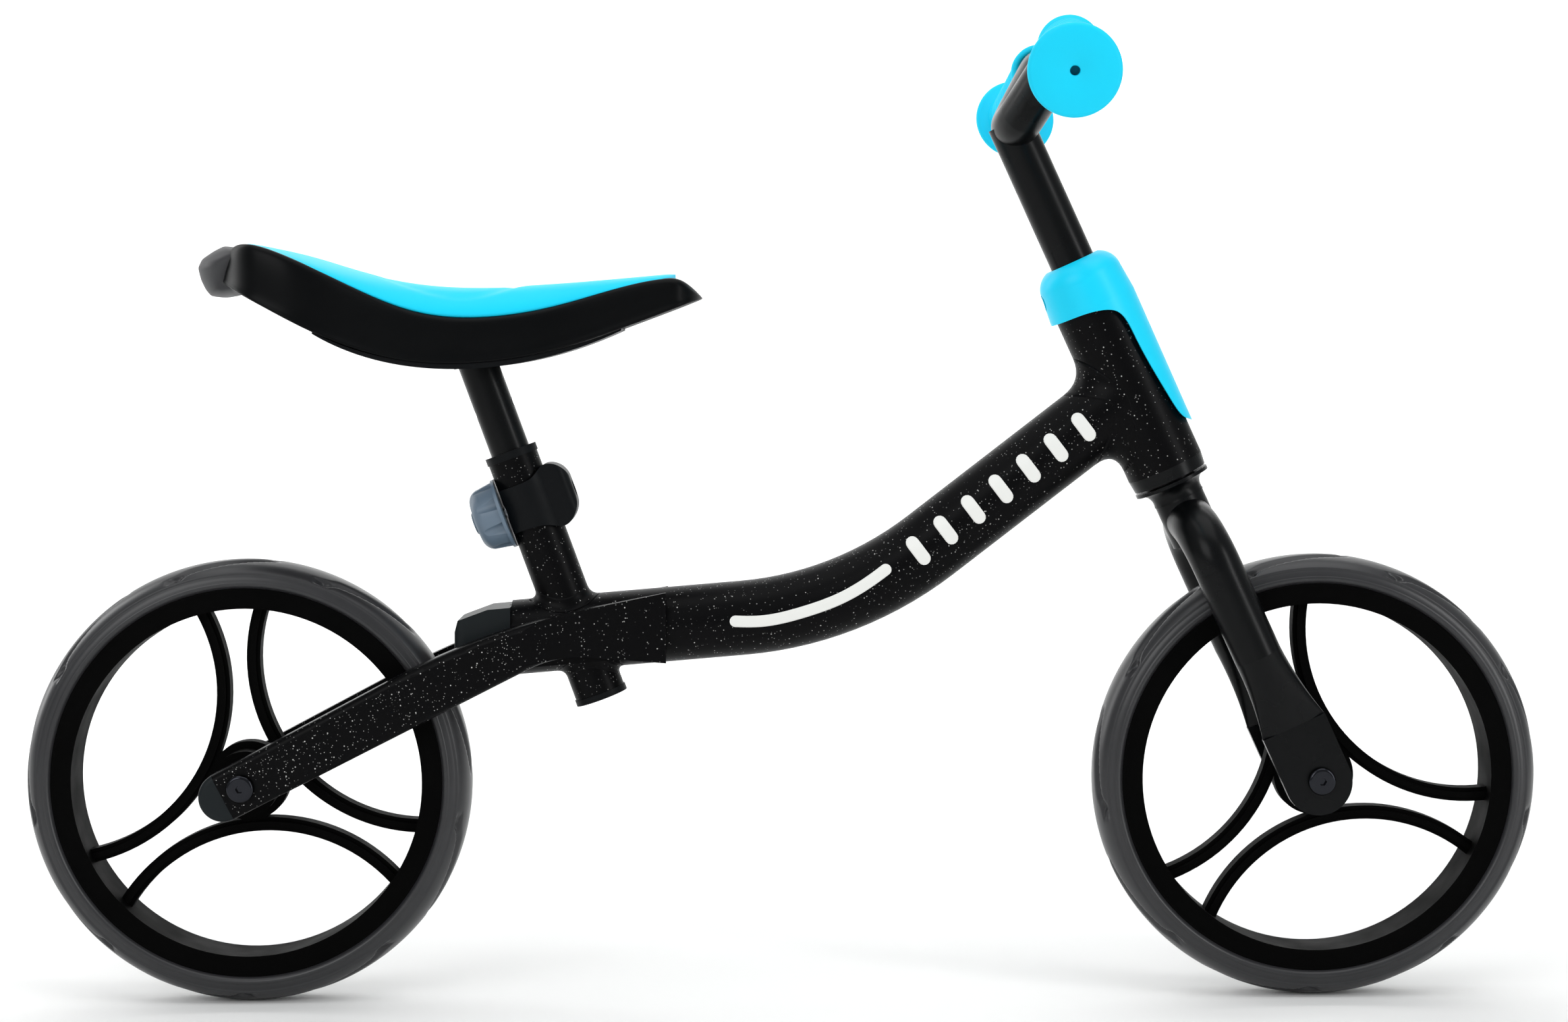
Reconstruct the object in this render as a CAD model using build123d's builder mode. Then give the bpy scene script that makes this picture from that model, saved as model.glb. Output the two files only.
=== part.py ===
from build123d import *
import os
from math import atan2, cos, radians, sin, sqrt, tan

# Children's balance bike with a reversible frame.  Millimetres, +X forward, +Y to the rider's
# left, +Z up.  The origin is on the ground, in the mid plane, half way between the two axles.

# ---------------------------------------------------------------- driving dimensions
# wheels
wheelbase = 600.0
wheel_radius = 125.0
tyre_width = 37.0
tyre_seat_depth = 20.5
rim_flange_height = 5.0
rim_wall = 3.0
rim_floor = 6.5
spoke_width = 7.6
spoke_depth = 10.0
spoke_rib_width = 3.2
spoke_rib_depth = 14.0
spoke_hub_gap = 25.0
spoke_end_angle = 50.5
spoke_fillet = 5.0
rear_spoke_turn = 35.0
front_spoke_turn = 44.0
hub_radius = 18.5
hub_half = 20.0
bearing_radius = 11.0
bearing_width = 7.0
wheel_side_gap = 0.3
axle_radius = 4.0
axle_fit = 0.05
sleeve_wall = 2.0
sleeve_gap = 0.5
spacer_wall = 2.2
bolt_head_radius = 7.8
bolt_head_height = 3.6
bolt_shank_radius = 2.5
bolt_shank_length = 12.0
bolt_dome_share = 0.55
hex_socket = 4.0
small_hex_socket = 3.2
small_hex_depth = 2.0

# steering head and fork
head_lean = 24.4
head_setback = 5.0
head_tube_radius = 22.0
head_tube_wall = 2.5
head_tube_low = wheel_radius + 66.5
head_tube_length = 99.5
cup_height = 7.0
cup_skirt = 10.0
cup_wall = 1.6
cup_floor = 3.0
upper_cup_height = 2.0
race_gap_in_cup = 1.2
race_gap = 1.3
race_lip_height = 1.9
race_flare_height = 11.0
steerer_radius = 14.3
steerer_wall = 1.5
steerer_low = wheel_radius + 22.0
steerer_above_head = 21.0
steerer_end_wall = 3.0
top_race_gap = 2.3
top_race_height = 4.0
leg_radius = 13.25
leg_wall = 1.6
leg_spacing = 37.0
leg_shoulder = wheel_radius + 26.0
leg_bend_radius = 26.0
leg_crown_rise = 9.0
leg_flatten_top = 78.0
leg_flatten_low = 32.0
leg_press_middle = 56.0
leg_press_spacing = 32.5
leg_press_width = 14.6
leg_press_depth = 9.0
dropout_width = 37.4
dropout_thickness = 5.5
front_dropout_inner = 24.0
dropout_centre = 3.0

# handlebar
stem_radius = 12.7
stem_wall = 1.6
stem_insertion = 95.0
bar_centre_height = 395.4
bar_setback = 5.1
bar_radius = 12.9
bar_wall = 1.6
bar_bend_radius = 32.0
bar_knee = (27.0, 70.0, 46.0)
bar_end = (19.5, 173.5, 23.5)
stem_above_bar = 8.0
grip_length = 100.0
grip_radius = 15.6
grip_flange_radius = 24.0
grip_flange_thickness = 4.5
grip_collar_radius = 17.0
grip_collar_length = 4.0
grip_fit = 0.1
grip_edge = 1.2
grip_mouth_radius = 13.7
grip_mouth_depth = 7.5
grip_end_wall = 3.0
grip_hole_radius = 2.6

# collar that clamps the stem, and its cover
cover_wall = 2.9
cover_height = 29.0
cover_head_gap = 0.5
cover_tongue_length = 80.5
clamp_ring_height = 10.0
clamp_ring_radius = 19.0
clamp_screw_radius = 3.0
clamp_screw_head = 2.6
clamp_screw_head_radius = 4.2
clamp_race_gap = 1.0

# main tube, seat tube and stays
main_tube_radius = 21.0
main_tube_wall = 2.0
main_height = wheel_radius + 82.7
main_rear_slope = 4.6
main_front_slope = 37.5
main_bend_radius = 200.0
main_head_height = 47.0
seat_tube_setback = wheel_radius + 60.0
main_rear_setback = wheel_radius + 23.6
seat_lean = 19.9
seat_tube_radius = 14.3
seat_tube_wall = 1.9
seat_tube_up = 104.5
seat_tube_down = 36.0
foot_plug_flange = 3.5
foot_plug_depth = 8.0
foot_plug_wall = 2.2
sleeve_flange = 4.2
sleeve_flange_lip = 0.6
sleeve_depth = 84.0
post_radius = 11.1
post_fit = 0.05
post_wall = 1.6
post_length = 164.4
post_top_above_seat = 11.0
post_steps = 5
post_hole_radius = 3.0
post_hole_pitch = 28.5
post_cap_height = 2.0
post_cap_tenon = 7.0
post_cap_wall = 2.0
seat_height = 159.0
stay_inner = 21.5
stay_thickness = 14.5
stay_rear_half = 13.7
stay_knee_half = 15.4
stay_front_half = 19.6
stay_knee_ahead = 7.4
stay_front_ahead = 86.7
stay_end_behind = 11.4
stay_round = 4.0
stay_wall = 1.8
rear_plug_length = 31.5
rear_plug_gap = 5.5
rear_plug_half_width = 21.0
rear_plug_round = 6.0
rear_plug_tenon = 14.0
rear_plug_tenon_wall = 2.5
stay_plug_tenon = 5.0
stay_low_radius = 60.0
stay_pad_inner = 12.6
stay_tip_thickness = 3.0

# seat clamp and knob
clamp_height = 77.0
clamp_band_half = 12.7
clamp_lobe_reach = 26.6
clamp_lobe_half_width = 12.5
clamp_back = 12.8
clamp_counterbore = 4.5
clamp_wall = 3.0
clamp_lobe_round = 6.0
clamp_counterbore_radius = 4.8
clamp_cap_screw_radius = 4.2
clamp_cap_screw_head = 3.0
knob_radius = 20.0
knob_flange = 1.8
knob_grip_radius = 19.0
knob_face_radius = 12.8
knob_depth = 16.8
knob_lobes = 8
knob_lobe_cut = 2.2
knob_cap_radius = 6.3
knob_cap_depth = 1.7
knob_gap = 0.4
knob_cap_edge = 0.8
insert_radius = 5.0
insert_depth = 2.5
knob_screw_radius = 3.0
screw_post_gap = 0.35
screw_thread_fit = 0.05
seat_screw_radius = 2.2

# seat
seat_half_width = 68.0
seat_nose_half_width = 29.0
seat_shell_wall = 3.0
seat_plate_thickness = 3.4
seat_plate_inset = 2.4
seat_plate_clearance = 0.4
tail_half_width = 34.0
tail_round = 1.6
bracket_length = 72.0
bracket_width = 38.0
bracket_thickness = 3.0
bracket_rise = 9.0
bracket_socket_wall = 2.5
bracket_corner = 6.0
bracket_socket_drop = 3.0
boss_radius = 5.0
boss_length = 16.0
boss_bore = 11.0
boss_ahead = 26.0
boss_aside = 12.0
screw_grip = 10.0
screw_head_height = 2.4
screw_head_radius = 4.2

os.makedirs("parts", exist_ok=True)

# ---------------------------------------------------------------- places worked out from them
rear_axle_x = -wheelbase / 2
front_axle_x = wheelbase / 2
axle_z = wheel_radius

steer_back = sin(radians(head_lean))
steer_rise = cos(radians(head_lean))
steer_foot = (front_axle_x - head_setback, 0, axle_z)
steer_up = (-steer_back, 0, steer_rise)
steer_forward = (steer_rise, 0, steer_back)
steer = Plane(origin=steer_foot, x_dir=steer_forward, z_dir=steer_up)
steer_side = Plane(origin=steer_foot, x_dir=steer_forward, z_dir=(0, -1, 0))
steer_front = Plane(origin=steer_foot, x_dir=(0, 1, 0), z_dir=steer_forward)
steer_axis = Axis(steer_foot, steer_up)
axle_drop = -head_setback * steer_back
head_tube_top = head_tube_low + head_tube_length

seat_back = sin(radians(seat_lean))
seat_rise = cos(radians(seat_lean))
seat_foot = (rear_axle_x + seat_tube_setback, 0, main_height)
seat_up = (-seat_back, 0, seat_rise)
seat_forward = (seat_rise, 0, seat_back)
seat_line = Plane(origin=seat_foot, x_dir=seat_forward, z_dir=seat_up)
seat_side = Plane(origin=seat_foot, x_dir=seat_forward, z_dir=(0, -1, 0))
knob_place = Vector(*seat_foot) + Vector(*seat_up) * clamp_height
knob_plane = Plane(origin=knob_place, x_dir=(0, 1, 0), z_dir=(-seat_rise, 0, -seat_back))
seat_centre = Vector(*seat_foot) + Vector(*seat_up) * seat_height


def on_steering(forward, up):
    """World X and Z of a point given ahead of the steering axis and along it."""
    x = steer_foot[0] + forward * steer_rise - up * steer_back
    z = steer_foot[2] + forward * steer_back + up * steer_rise
    return x, z


def main_rear_line(x):
    """Height of the main tube's centre line on its rear straight run."""
    return main_height + (x - seat_foot[0]) * tan(radians(main_rear_slope))


main_rear_x = rear_axle_x + main_rear_setback
main_start_x = main_rear_x - main_tube_radius
main_front = on_steering(0, head_tube_low + main_head_height)
rear_gradient = tan(radians(main_rear_slope))
front_gradient = tan(radians(main_front_slope))
height_gap = main_front[1] - front_gradient * main_front[0] - main_rear_line(0)
main_bend_x = height_gap / (rear_gradient - front_gradient)
main_points = [
    (main_start_x, main_rear_line(main_start_x)),
    (main_bend_x, main_rear_line(main_bend_x)),
    main_front,
]


def ring(plane, low, high, outer, inner):
    """A plain ring or sleeve along the plane's normal, between two heights."""
    with BuildPart() as sleeve:
        with BuildSketch(plane.offset(low)):
            Circle(outer)
            Circle(inner, mode=Mode.SUBTRACT)
        extrude(amount=high - low)
    return sleeve.part


def rod(plane, low, high, radius):
    """A plain round bar along the plane's normal, between two heights."""
    with BuildPart() as bar:
        with BuildSketch(plane.offset(low)):
            Circle(radius)
        extrude(amount=high - low)
    return bar.part


def button_bolt(plane, head_face):
    """A domed hex bolt: head from head_face outwards along the normal, shank inwards."""
    dome = bolt_head_height * bolt_dome_share
    with BuildPart() as bolt:
        with BuildSketch(plane.offset(head_face)):
            Circle(bolt_head_radius)
        extrude(amount=bolt_head_height)
        fillet(bolt.edges().sort_by(Axis(plane.origin, plane.z_dir))[-1], dome)
        with BuildSketch(plane.offset(head_face + bolt_head_height)):
            RegularPolygon(hex_socket / 2, 6, major_radius=False)
        extrude(amount=-bolt_head_height * 0.7, mode=Mode.SUBTRACT)
        with BuildSketch(plane.offset(head_face)):
            Circle(bolt_shank_radius)
        extrude(amount=-bolt_shank_length)
    return bolt.part


# ---------------------------------------------------------------- main tube
with BuildPart() as main_core:
    with BuildLine(Plane.XZ) as main_line:
        FilletPolyline(*main_points, radius=main_bend_radius)
    with BuildSketch(Plane(origin=main_line.line @ 0, z_dir=main_line.line % 0)):
        Circle(main_tube_radius)
    sweep()

with BuildPart() as main_tube:
    with BuildLine(Plane.XZ) as main_line:
        FilletPolyline(*main_points, radius=main_bend_radius)
    with BuildSketch(Plane(origin=main_line.line @ 0, z_dir=main_line.line % 0)):
        Circle(main_tube_radius)
        Circle(main_tube_radius - main_tube_wall, mode=Mode.SUBTRACT)
    sweep()
    split(bisect_by=Plane.YZ.offset(main_rear_x), keep=Keep.TOP)
    add(rod(steer, head_tube_low, head_tube_top, head_tube_radius), mode=Mode.SUBTRACT)
    add(rod(seat_line, -seat_tube_down, seat_tube_up, seat_tube_radius), mode=Mode.SUBTRACT)
main_tube.part.label = "main_tube"
export_step(main_tube.part, "parts/main_tube.step")

# ---------------------------------------------------------------- head tube
with BuildPart() as head_tube:
    add(ring(steer, head_tube_low, head_tube_top, head_tube_radius, head_tube_radius - head_tube_wall))
head_tube.part.label = "head_tube"
export_step(head_tube.part, "parts/head_tube.step")

# ---------------------------------------------------------------- seat tube and its sleeve
seat_bore = seat_tube_radius - seat_tube_wall
with BuildPart() as seat_tube:
    add(ring(seat_line, -seat_tube_down, seat_tube_up, seat_tube_radius, seat_bore))
    with BuildSketch(knob_plane):
        Circle(insert_radius)
    extrude(amount=seat_tube_radius + 1, mode=Mode.SUBTRACT)
    with BuildSketch(knob_plane):
        Circle(seat_screw_radius)
    extrude(amount=-seat_tube_radius - 1, mode=Mode.SUBTRACT)
seat_tube.part.label = "seat_tube"
export_step(seat_tube.part, "parts/seat_tube.step")

with BuildPart() as seat_tube_sleeve:
    add(ring(seat_line, seat_tube_up - sleeve_depth, seat_tube_up, seat_bore, post_radius + post_fit))
    flange_top = seat_tube_up + sleeve_flange
    flange_radius = seat_tube_radius + sleeve_flange_lip
    add(ring(seat_line, seat_tube_up, flange_top, flange_radius, post_radius + post_fit))
    with BuildSketch(knob_plane):
        Circle(insert_radius)
    extrude(amount=seat_tube_radius, mode=Mode.SUBTRACT)
seat_tube_sleeve.part.label = "seat_tube_sleeve"
export_step(seat_tube_sleeve.part, "parts/seat_tube_sleeve.step")

with BuildPart() as seat_tube_plug:
    foot = -seat_tube_down - foot_plug_flange
    add(rod(seat_line, foot, -seat_tube_down, seat_tube_radius + sleeve_flange_lip))
    plug_top = foot_plug_depth - seat_tube_down
    add(ring(seat_line, -seat_tube_down, plug_top, seat_bore, seat_bore - foot_plug_wall))
seat_tube_plug.part.label = "seat_tube_plug"
export_step(seat_tube_plug.part, "parts/seat_tube_plug.step")

# ---------------------------------------------------------------- stays
knee_x = main_rear_x + stay_knee_ahead
knee = (knee_x, main_rear_line(knee_x))
stay_angle = atan2(knee[1] - axle_z, knee[0] - rear_axle_x)
stay_front_x = main_rear_x + stay_front_ahead


def along_stay(distance, rise):
    """World X and Z of a point along the stay's line from the rear axle, and above that line."""
    x = rear_axle_x + distance * cos(stay_angle) - rise * sin(stay_angle)
    z = axle_z + distance * sin(stay_angle) + rise * cos(stay_angle)
    return x, z


def stay_corner(stay_rise, tube_rise):
    """Where a line above the stay's line meets a line above the main tube's rear run."""
    slope = radians(main_rear_slope)
    turn = stay_angle - slope
    reach = sqrt((knee[0] - rear_axle_x) ** 2 + (knee[1] - axle_z) ** 2)
    return along_stay(reach + (stay_rise * cos(turn) - tube_rise) / sin(turn), stay_rise)


stay_top_corner = stay_corner(stay_knee_half, stay_front_half)
stay_low_corner = stay_corner(-stay_knee_half, -stay_front_half)
slope_rise = 1 / cos(radians(main_rear_slope))
stay_front_top = (stay_front_x, main_rear_line(stay_front_x) + stay_front_half * slope_rise)
stay_front_low = (stay_front_x, main_rear_line(stay_front_x) - stay_front_half * slope_rise)
stay_rear_top = along_stay(-stay_end_behind, stay_rear_half)
stay_rear_low = along_stay(-stay_end_behind, -stay_rear_half)
stay_turn = stay_angle - radians(main_rear_slope)
stay_top_radius = 0.78 * (stay_front_x - stay_top_corner[0]) / tan(stay_turn / 2)
stay_outer = stay_inner + stay_thickness

with BuildPart() as stay_right:
    with BuildSketch(Plane.XZ.offset(stay_inner)) as stay_outline:
        with BuildLine():
            FilletPolyline(stay_rear_top, stay_top_corner, stay_front_top, radius=stay_top_radius)
            Line(stay_front_top, stay_front_low)
            FilletPolyline(stay_front_low, stay_low_corner, stay_rear_low, radius=stay_low_radius)
            Line(stay_rear_low, stay_rear_top)
        make_face()
    extrude(amount=stay_thickness)
    rear_end = Axis((rear_axle_x, 0, axle_z), (cos(stay_angle), 0, sin(stay_angle)))
    fillet(stay_right.faces().sort_by(Axis.Y)[0].edges().sort_by(rear_end)[1:-1], stay_round)
    # hollow the rear run, open at its end for the plug
    with BuildSketch(Plane.XZ.offset(stay_inner + stay_wall)):
        with BuildLine():
            cavity = stay_rear_half - stay_wall
            Polyline(
                along_stay(-stay_end_behind - 1, cavity),
                along_stay(wheel_radius, cavity),
                along_stay(wheel_radius, -cavity),
                along_stay(-stay_end_behind - 1, -cavity),
                close=True,
            )
        make_face()
    extrude(amount=stay_thickness - 2 * stay_wall, mode=Mode.SUBTRACT)
    # pad that reaches in to the side of the main tube
    with BuildSketch(Plane.XZ.offset(stay_pad_inner)):
        with BuildLine():
            pad_x = main_rear_x + 0.2
            Polyline(
                (pad_x, main_rear_line(pad_x) - stay_front_half * 0.8),
                (stay_front_x, main_rear_line(stay_front_x) - stay_front_half * 0.8),
                (stay_front_x, main_rear_line(stay_front_x) + stay_front_half * 0.8),
                (pad_x, main_rear_line(pad_x) + stay_front_half * 0.4),
                close=True,
            )
        make_face()
    extrude(amount=stay_inner - stay_pad_inner)
    # the front of the stay fades into the side of the main tube
    with BuildSketch(Plane.XY):
        with BuildLine():
            Polyline(
                (knee_x, -stay_outer - 1),
                (knee_x, -stay_outer),
                (stay_front_x, -main_tube_radius - stay_tip_thickness),
                (stay_front_x + 1, -stay_outer - 1),
                close=True,
            )
        make_face()
    extrude(amount=main_height * 2, mode=Mode.SUBTRACT)
    add(main_core.part, mode=Mode.SUBTRACT)
    add(rod(seat_line, -seat_tube_down, seat_tube_up, seat_tube_radius), mode=Mode.SUBTRACT)
    with BuildSketch(Plane.XZ):
        with Locations((rear_axle_x, axle_z)):
            Circle(axle_radius + axle_fit)
    extrude(amount=stay_outer + 1, mode=Mode.SUBTRACT)
stay_right.part.label = "stay_right"
export_step(stay_right.part, "parts/stay_right.step")

with BuildPart() as stay_left:
    mirror(stay_right.part, about=Plane.XZ)
stay_left.part.label = "stay_left"
export_step(stay_left.part, "parts/stay_left.step")

# ---------------------------------------------------------------- plugs of the stays and main tube
with BuildPart() as stay_plug_right:
    end_low = along_stay(-stay_end_behind, -stay_rear_half)
    end_top = along_stay(-stay_end_behind, stay_rear_half)
    end_mid = along_stay(-stay_end_behind - stay_rear_half, 0)
    with BuildSketch(Plane.XZ.offset(stay_inner)):
        with BuildLine():
            ThreePointArc(end_low, end_mid, end_top)
            Line(end_top, end_low)
        make_face()
    extrude(amount=stay_thickness)
    fillet(stay_plug_right.edges().filter_by(GeomType.CIRCLE), stay_round * 0.75)
    with BuildSketch(Plane.XZ.offset(stay_inner + stay_wall)):
        with BuildLine():
            tenon = stay_rear_half - stay_wall
            Polyline(
                along_stay(-stay_end_behind, tenon),
                along_stay(stay_plug_tenon - stay_end_behind, tenon),
                along_stay(stay_plug_tenon - stay_end_behind, -tenon),
                along_stay(-stay_end_behind, -tenon),
                close=True,
            )
        make_face()
    extrude(amount=stay_thickness - 2 * stay_wall)
stay_plug_right.part.label = "stay_plug_right"
export_step(stay_plug_right.part, "parts/stay_plug_right.step")

with BuildPart() as stay_plug_left:
    mirror(stay_plug_right.part, about=Plane.XZ)
stay_plug_left.part.label = "stay_plug_left"
export_step(stay_plug_left.part, "parts/stay_plug_left.step")

with BuildPart() as main_tube_plug:
    plug_back = main_rear_x - rear_plug_length
    plug_mid = main_rear_line(main_rear_x)
    plug_clear = wheel_radius + rear_plug_gap
    with BuildSketch(Plane.XZ.offset(-rear_plug_half_width)):
        with BuildLine():
            Polyline(
                (main_rear_x, plug_mid - 19.0),
                (main_rear_x, plug_mid + 18.5),
                (main_rear_x - 12.7, plug_mid + 17.4),
                (plug_back + 2.2, plug_mid + 11.3),
                (plug_back, plug_mid + 4.0),
                (plug_back, plug_mid - 19.0),
                close=True,
            )
        make_face()
        with Locations((rear_axle_x, axle_z)):
            Circle(plug_clear, mode=Mode.SUBTRACT)
    extrude(amount=2 * rear_plug_half_width)
    fillet(main_tube_plug.faces().sort_by(Axis.X)[0].edges().filter_by(Axis.Z), rear_plug_round)
    core = main_tube_radius - main_tube_wall
    with BuildSketch(Plane(origin=(main_rear_x, 0, plug_mid), z_dir=(1, 0, rear_gradient))):
        Circle(core)
        Circle(core - rear_plug_tenon_wall, mode=Mode.SUBTRACT)
    extrude(amount=rear_plug_tenon)
    split(bisect_by=Plane.XY.offset(axle_z + wheel_radius * 0.4), keep=Keep.TOP)
main_tube_plug.part.label = "main_tube_plug"
export_step(main_tube_plug.part, "parts/main_tube_plug.step")

# ---------------------------------------------------------------- headset
cup_bore = steerer_radius + race_gap_in_cup
skirt_radius = head_tube_radius - head_tube_wall
with BuildPart() as lower_cup:
    with BuildSketch(steer_side):
        with BuildLine():
            Polyline(
                (cup_bore, head_tube_low - cup_height + cup_floor),
                (skirt_radius - cup_wall, head_tube_low - cup_height + cup_floor),
                (skirt_radius - cup_wall, head_tube_low - cup_height),
                (head_tube_radius - 0.8, head_tube_low - cup_height),
                (head_tube_radius, head_tube_low),
                (skirt_radius, head_tube_low),
                (skirt_radius, head_tube_low + cup_skirt),
                (cup_bore, head_tube_low + cup_skirt),
                close=True,
            )
        make_face()
    revolve(axis=steer_axis)
lower_cup.part.label = "lower_headset_cup"
export_step(lower_cup.part, "parts/lower_headset_cup.step")

with BuildPart() as upper_cup:
    with BuildSketch(steer_side):
        with BuildLine():
            Polyline(
                (cup_bore, head_tube_top - cup_skirt),
                (skirt_radius, head_tube_top - cup_skirt),
                (skirt_radius, head_tube_top),
                (head_tube_radius - 0.4, head_tube_top),
                (head_tube_radius - 0.4, head_tube_top + upper_cup_height),
                (skirt_radius - cup_wall, head_tube_top + upper_cup_height),
                (skirt_radius - cup_wall, head_tube_top - cup_floor),
                (cup_bore, head_tube_top - cup_floor),
                close=True,
            )
        make_face()
    revolve(axis=steer_axis)
upper_cup.part.label = "upper_headset_cup"
export_step(upper_cup.part, "parts/upper_headset_cup.step")

ball_outer = skirt_radius - cup_wall
lower_bearing_low = head_tube_low - cup_height + 0.2
with BuildPart() as lower_bearing:
    add(ring(steer, lower_bearing_low, head_tube_low - cup_height + cup_floor, ball_outer, cup_bore))
lower_bearing.part.label = "lower_headset_bearing"
export_step(lower_bearing.part, "parts/lower_headset_bearing.step")

with BuildPart() as upper_bearing:
    add(ring(steer, head_tube_top - cup_floor, head_tube_top + 1.8, ball_outer, cup_bore))
upper_bearing.part.label = "upper_headset_bearing"
export_step(upper_bearing.part, "parts/upper_headset_bearing.step")

race_top = head_tube_low - cup_height - race_gap
with BuildPart() as crown_race:
    race_low = race_top - race_flare_height
    flare_start = (steerer_radius + 4.6, race_top - race_lip_height)
    flare_end = (steerer_radius + 0.4, race_low)
    flare_middle = (steerer_radius + 1.5, race_top - race_lip_height - 2.4)
    with BuildSketch(steer_side):
        with BuildLine():
            Polyline(
                flare_end,
                (steerer_radius, race_low),
                (steerer_radius, race_top),
                (head_tube_radius - 0.4, race_top),
                (head_tube_radius - 0.4, race_top - race_lip_height),
                flare_start,
            )
            ThreePointArc(flare_start, flare_middle, flare_end)
        make_face()
    revolve(axis=steer_axis)
crown_race.part.label = "crown_race"
export_step(crown_race.part, "parts/crown_race.step")

# ---------------------------------------------------------------- steerer and fork legs
steerer_top = head_tube_top + steerer_above_head
with BuildPart() as steerer_tube:
    add(ring(steer, steerer_low, steerer_top, steerer_radius, steerer_radius - steerer_wall))
    add(rod(steer, steerer_low, steerer_low + steerer_end_wall, steerer_radius))
steerer_tube.part.label = "steerer_tube"
export_step(steerer_tube.part, "parts/steerer_tube.step")

race_ring_low = head_tube_top + top_race_gap
race_ring_high = race_ring_low + top_race_height
with BuildPart() as top_race:
    add(ring(steer, race_ring_low, race_ring_high, ball_outer + 1.5, steerer_radius))
top_race.part.label = "top_race"
export_step(top_race.part, "parts/top_race.step")

dropout_middle = front_dropout_inner + dropout_thickness / 2
with BuildPart() as fork_leg_right:
    # upper leg, bent in to the steerer
    with BuildLine(steer_front) as leg_line:
        FilletPolyline(
            (-leg_spacing, leg_flatten_top),
            (-leg_spacing, leg_shoulder),
            (-2.0, leg_shoulder + leg_crown_rise),
            radius=leg_bend_radius,
        )
    with BuildSketch(Plane(origin=leg_line.line @ 0, z_dir=leg_line.line % 0)):
        Circle(leg_radius)
        Circle(leg_radius - leg_wall, mode=Mode.SUBTRACT)
    sweep()
    # the round tube is pressed flat towards the dropout
    sections = [
        (leg_flatten_top, 0.0, leg_spacing, leg_radius, leg_radius),
        (leg_press_middle, dropout_centre / 2, leg_press_spacing, leg_press_width, leg_press_depth),
        (leg_flatten_low, dropout_centre, dropout_middle, dropout_width / 2, dropout_thickness * 0.6),
    ]
    for height, forward, sideways, wide, deep in sections:
        centre = Vector(*steer_foot) + Vector(*steer_up) * height + Vector(*steer_forward) * forward
        with BuildSketch(Plane(origin=centre - Vector(0, sideways, 0), x_dir=steer_forward, z_dir=steer_up)):
            Ellipse(wide, deep)
    loft()
    # flat dropout with a half round end
    with BuildSketch(steer_side.offset(front_dropout_inner)):
        with BuildLine():
            half = dropout_width / 2
            Line((dropout_centre - half, leg_flatten_low), (dropout_centre + half, leg_flatten_low))
            Line((dropout_centre + half, leg_flatten_low), (dropout_centre + half, axle_drop))
            low_point = (dropout_centre, axle_drop - half)
            ThreePointArc((dropout_centre + half, axle_drop), low_point, (dropout_centre - half, axle_drop))
            Line((dropout_centre - half, axle_drop), (dropout_centre - half, leg_flatten_low))
        make_face()
    extrude(amount=dropout_thickness)
    with BuildSketch(Plane.XZ.offset(front_dropout_inner - 1)):
        with Locations((front_axle_x, axle_z)):
            Circle(axle_radius + axle_fit)
    extrude(amount=dropout_thickness + 2, mode=Mode.SUBTRACT)
    add(rod(steer, steerer_low - 40, head_tube_low, steerer_radius), mode=Mode.SUBTRACT)
fork_leg_right.part.label = "fork_leg_right"
export_step(fork_leg_right.part, "parts/fork_leg_right.step")

with BuildPart() as fork_leg_left:
    mirror(fork_leg_right.part, about=Plane.XZ)
fork_leg_left.part.label = "fork_leg_left"
export_step(fork_leg_left.part, "parts/fork_leg_left.step")

# ---------------------------------------------------------------- stem, handlebar and grips
bar_middle = on_steering(-bar_setback, bar_centre_height)
bar_points = [
    (bar_middle[0] + bar_end[0], -bar_end[1], bar_middle[1] + bar_end[2]),
    (bar_middle[0] + bar_knee[0], -bar_knee[1], bar_middle[1] + bar_knee[2]),
    (bar_middle[0], 0, bar_middle[1]),
    (bar_middle[0] + bar_knee[0], bar_knee[1], bar_middle[1] + bar_knee[2]),
    (bar_middle[0] + bar_end[0], bar_end[1], bar_middle[1] + bar_end[2]),
]
with BuildPart() as bar_core:
    with BuildLine() as bar_line:
        FilletPolyline(*bar_points, radius=bar_bend_radius)
    with BuildSketch(Plane(origin=bar_line.line @ 0, z_dir=bar_line.line % 0)):
        Circle(bar_radius)
    sweep()

with BuildPart() as handlebar:
    with BuildLine() as bar_line:
        FilletPolyline(*bar_points, radius=bar_bend_radius)
    with BuildSketch(Plane(origin=bar_line.line @ 0, z_dir=bar_line.line % 0)):
        Circle(bar_radius)
        Circle(bar_radius - bar_wall, mode=Mode.SUBTRACT)
    sweep()
handlebar.part.label = "handlebar"
export_step(handlebar.part, "parts/handlebar.step")

with BuildPart() as stem_tube:
    stem_low = steerer_top - stem_insertion
    add(ring(steer, stem_low, bar_centre_height + stem_above_bar, stem_radius, stem_radius - stem_wall))
    add(bar_core.part, mode=Mode.SUBTRACT)
    stem_solids = stem_tube.solids().sort_by(Axis.Z)
    add(stem_solids[0], mode=Mode.REPLACE)
stem_tube.part.label = "stem_tube"
export_step(stem_tube.part, "parts/stem_tube.step")

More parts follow.
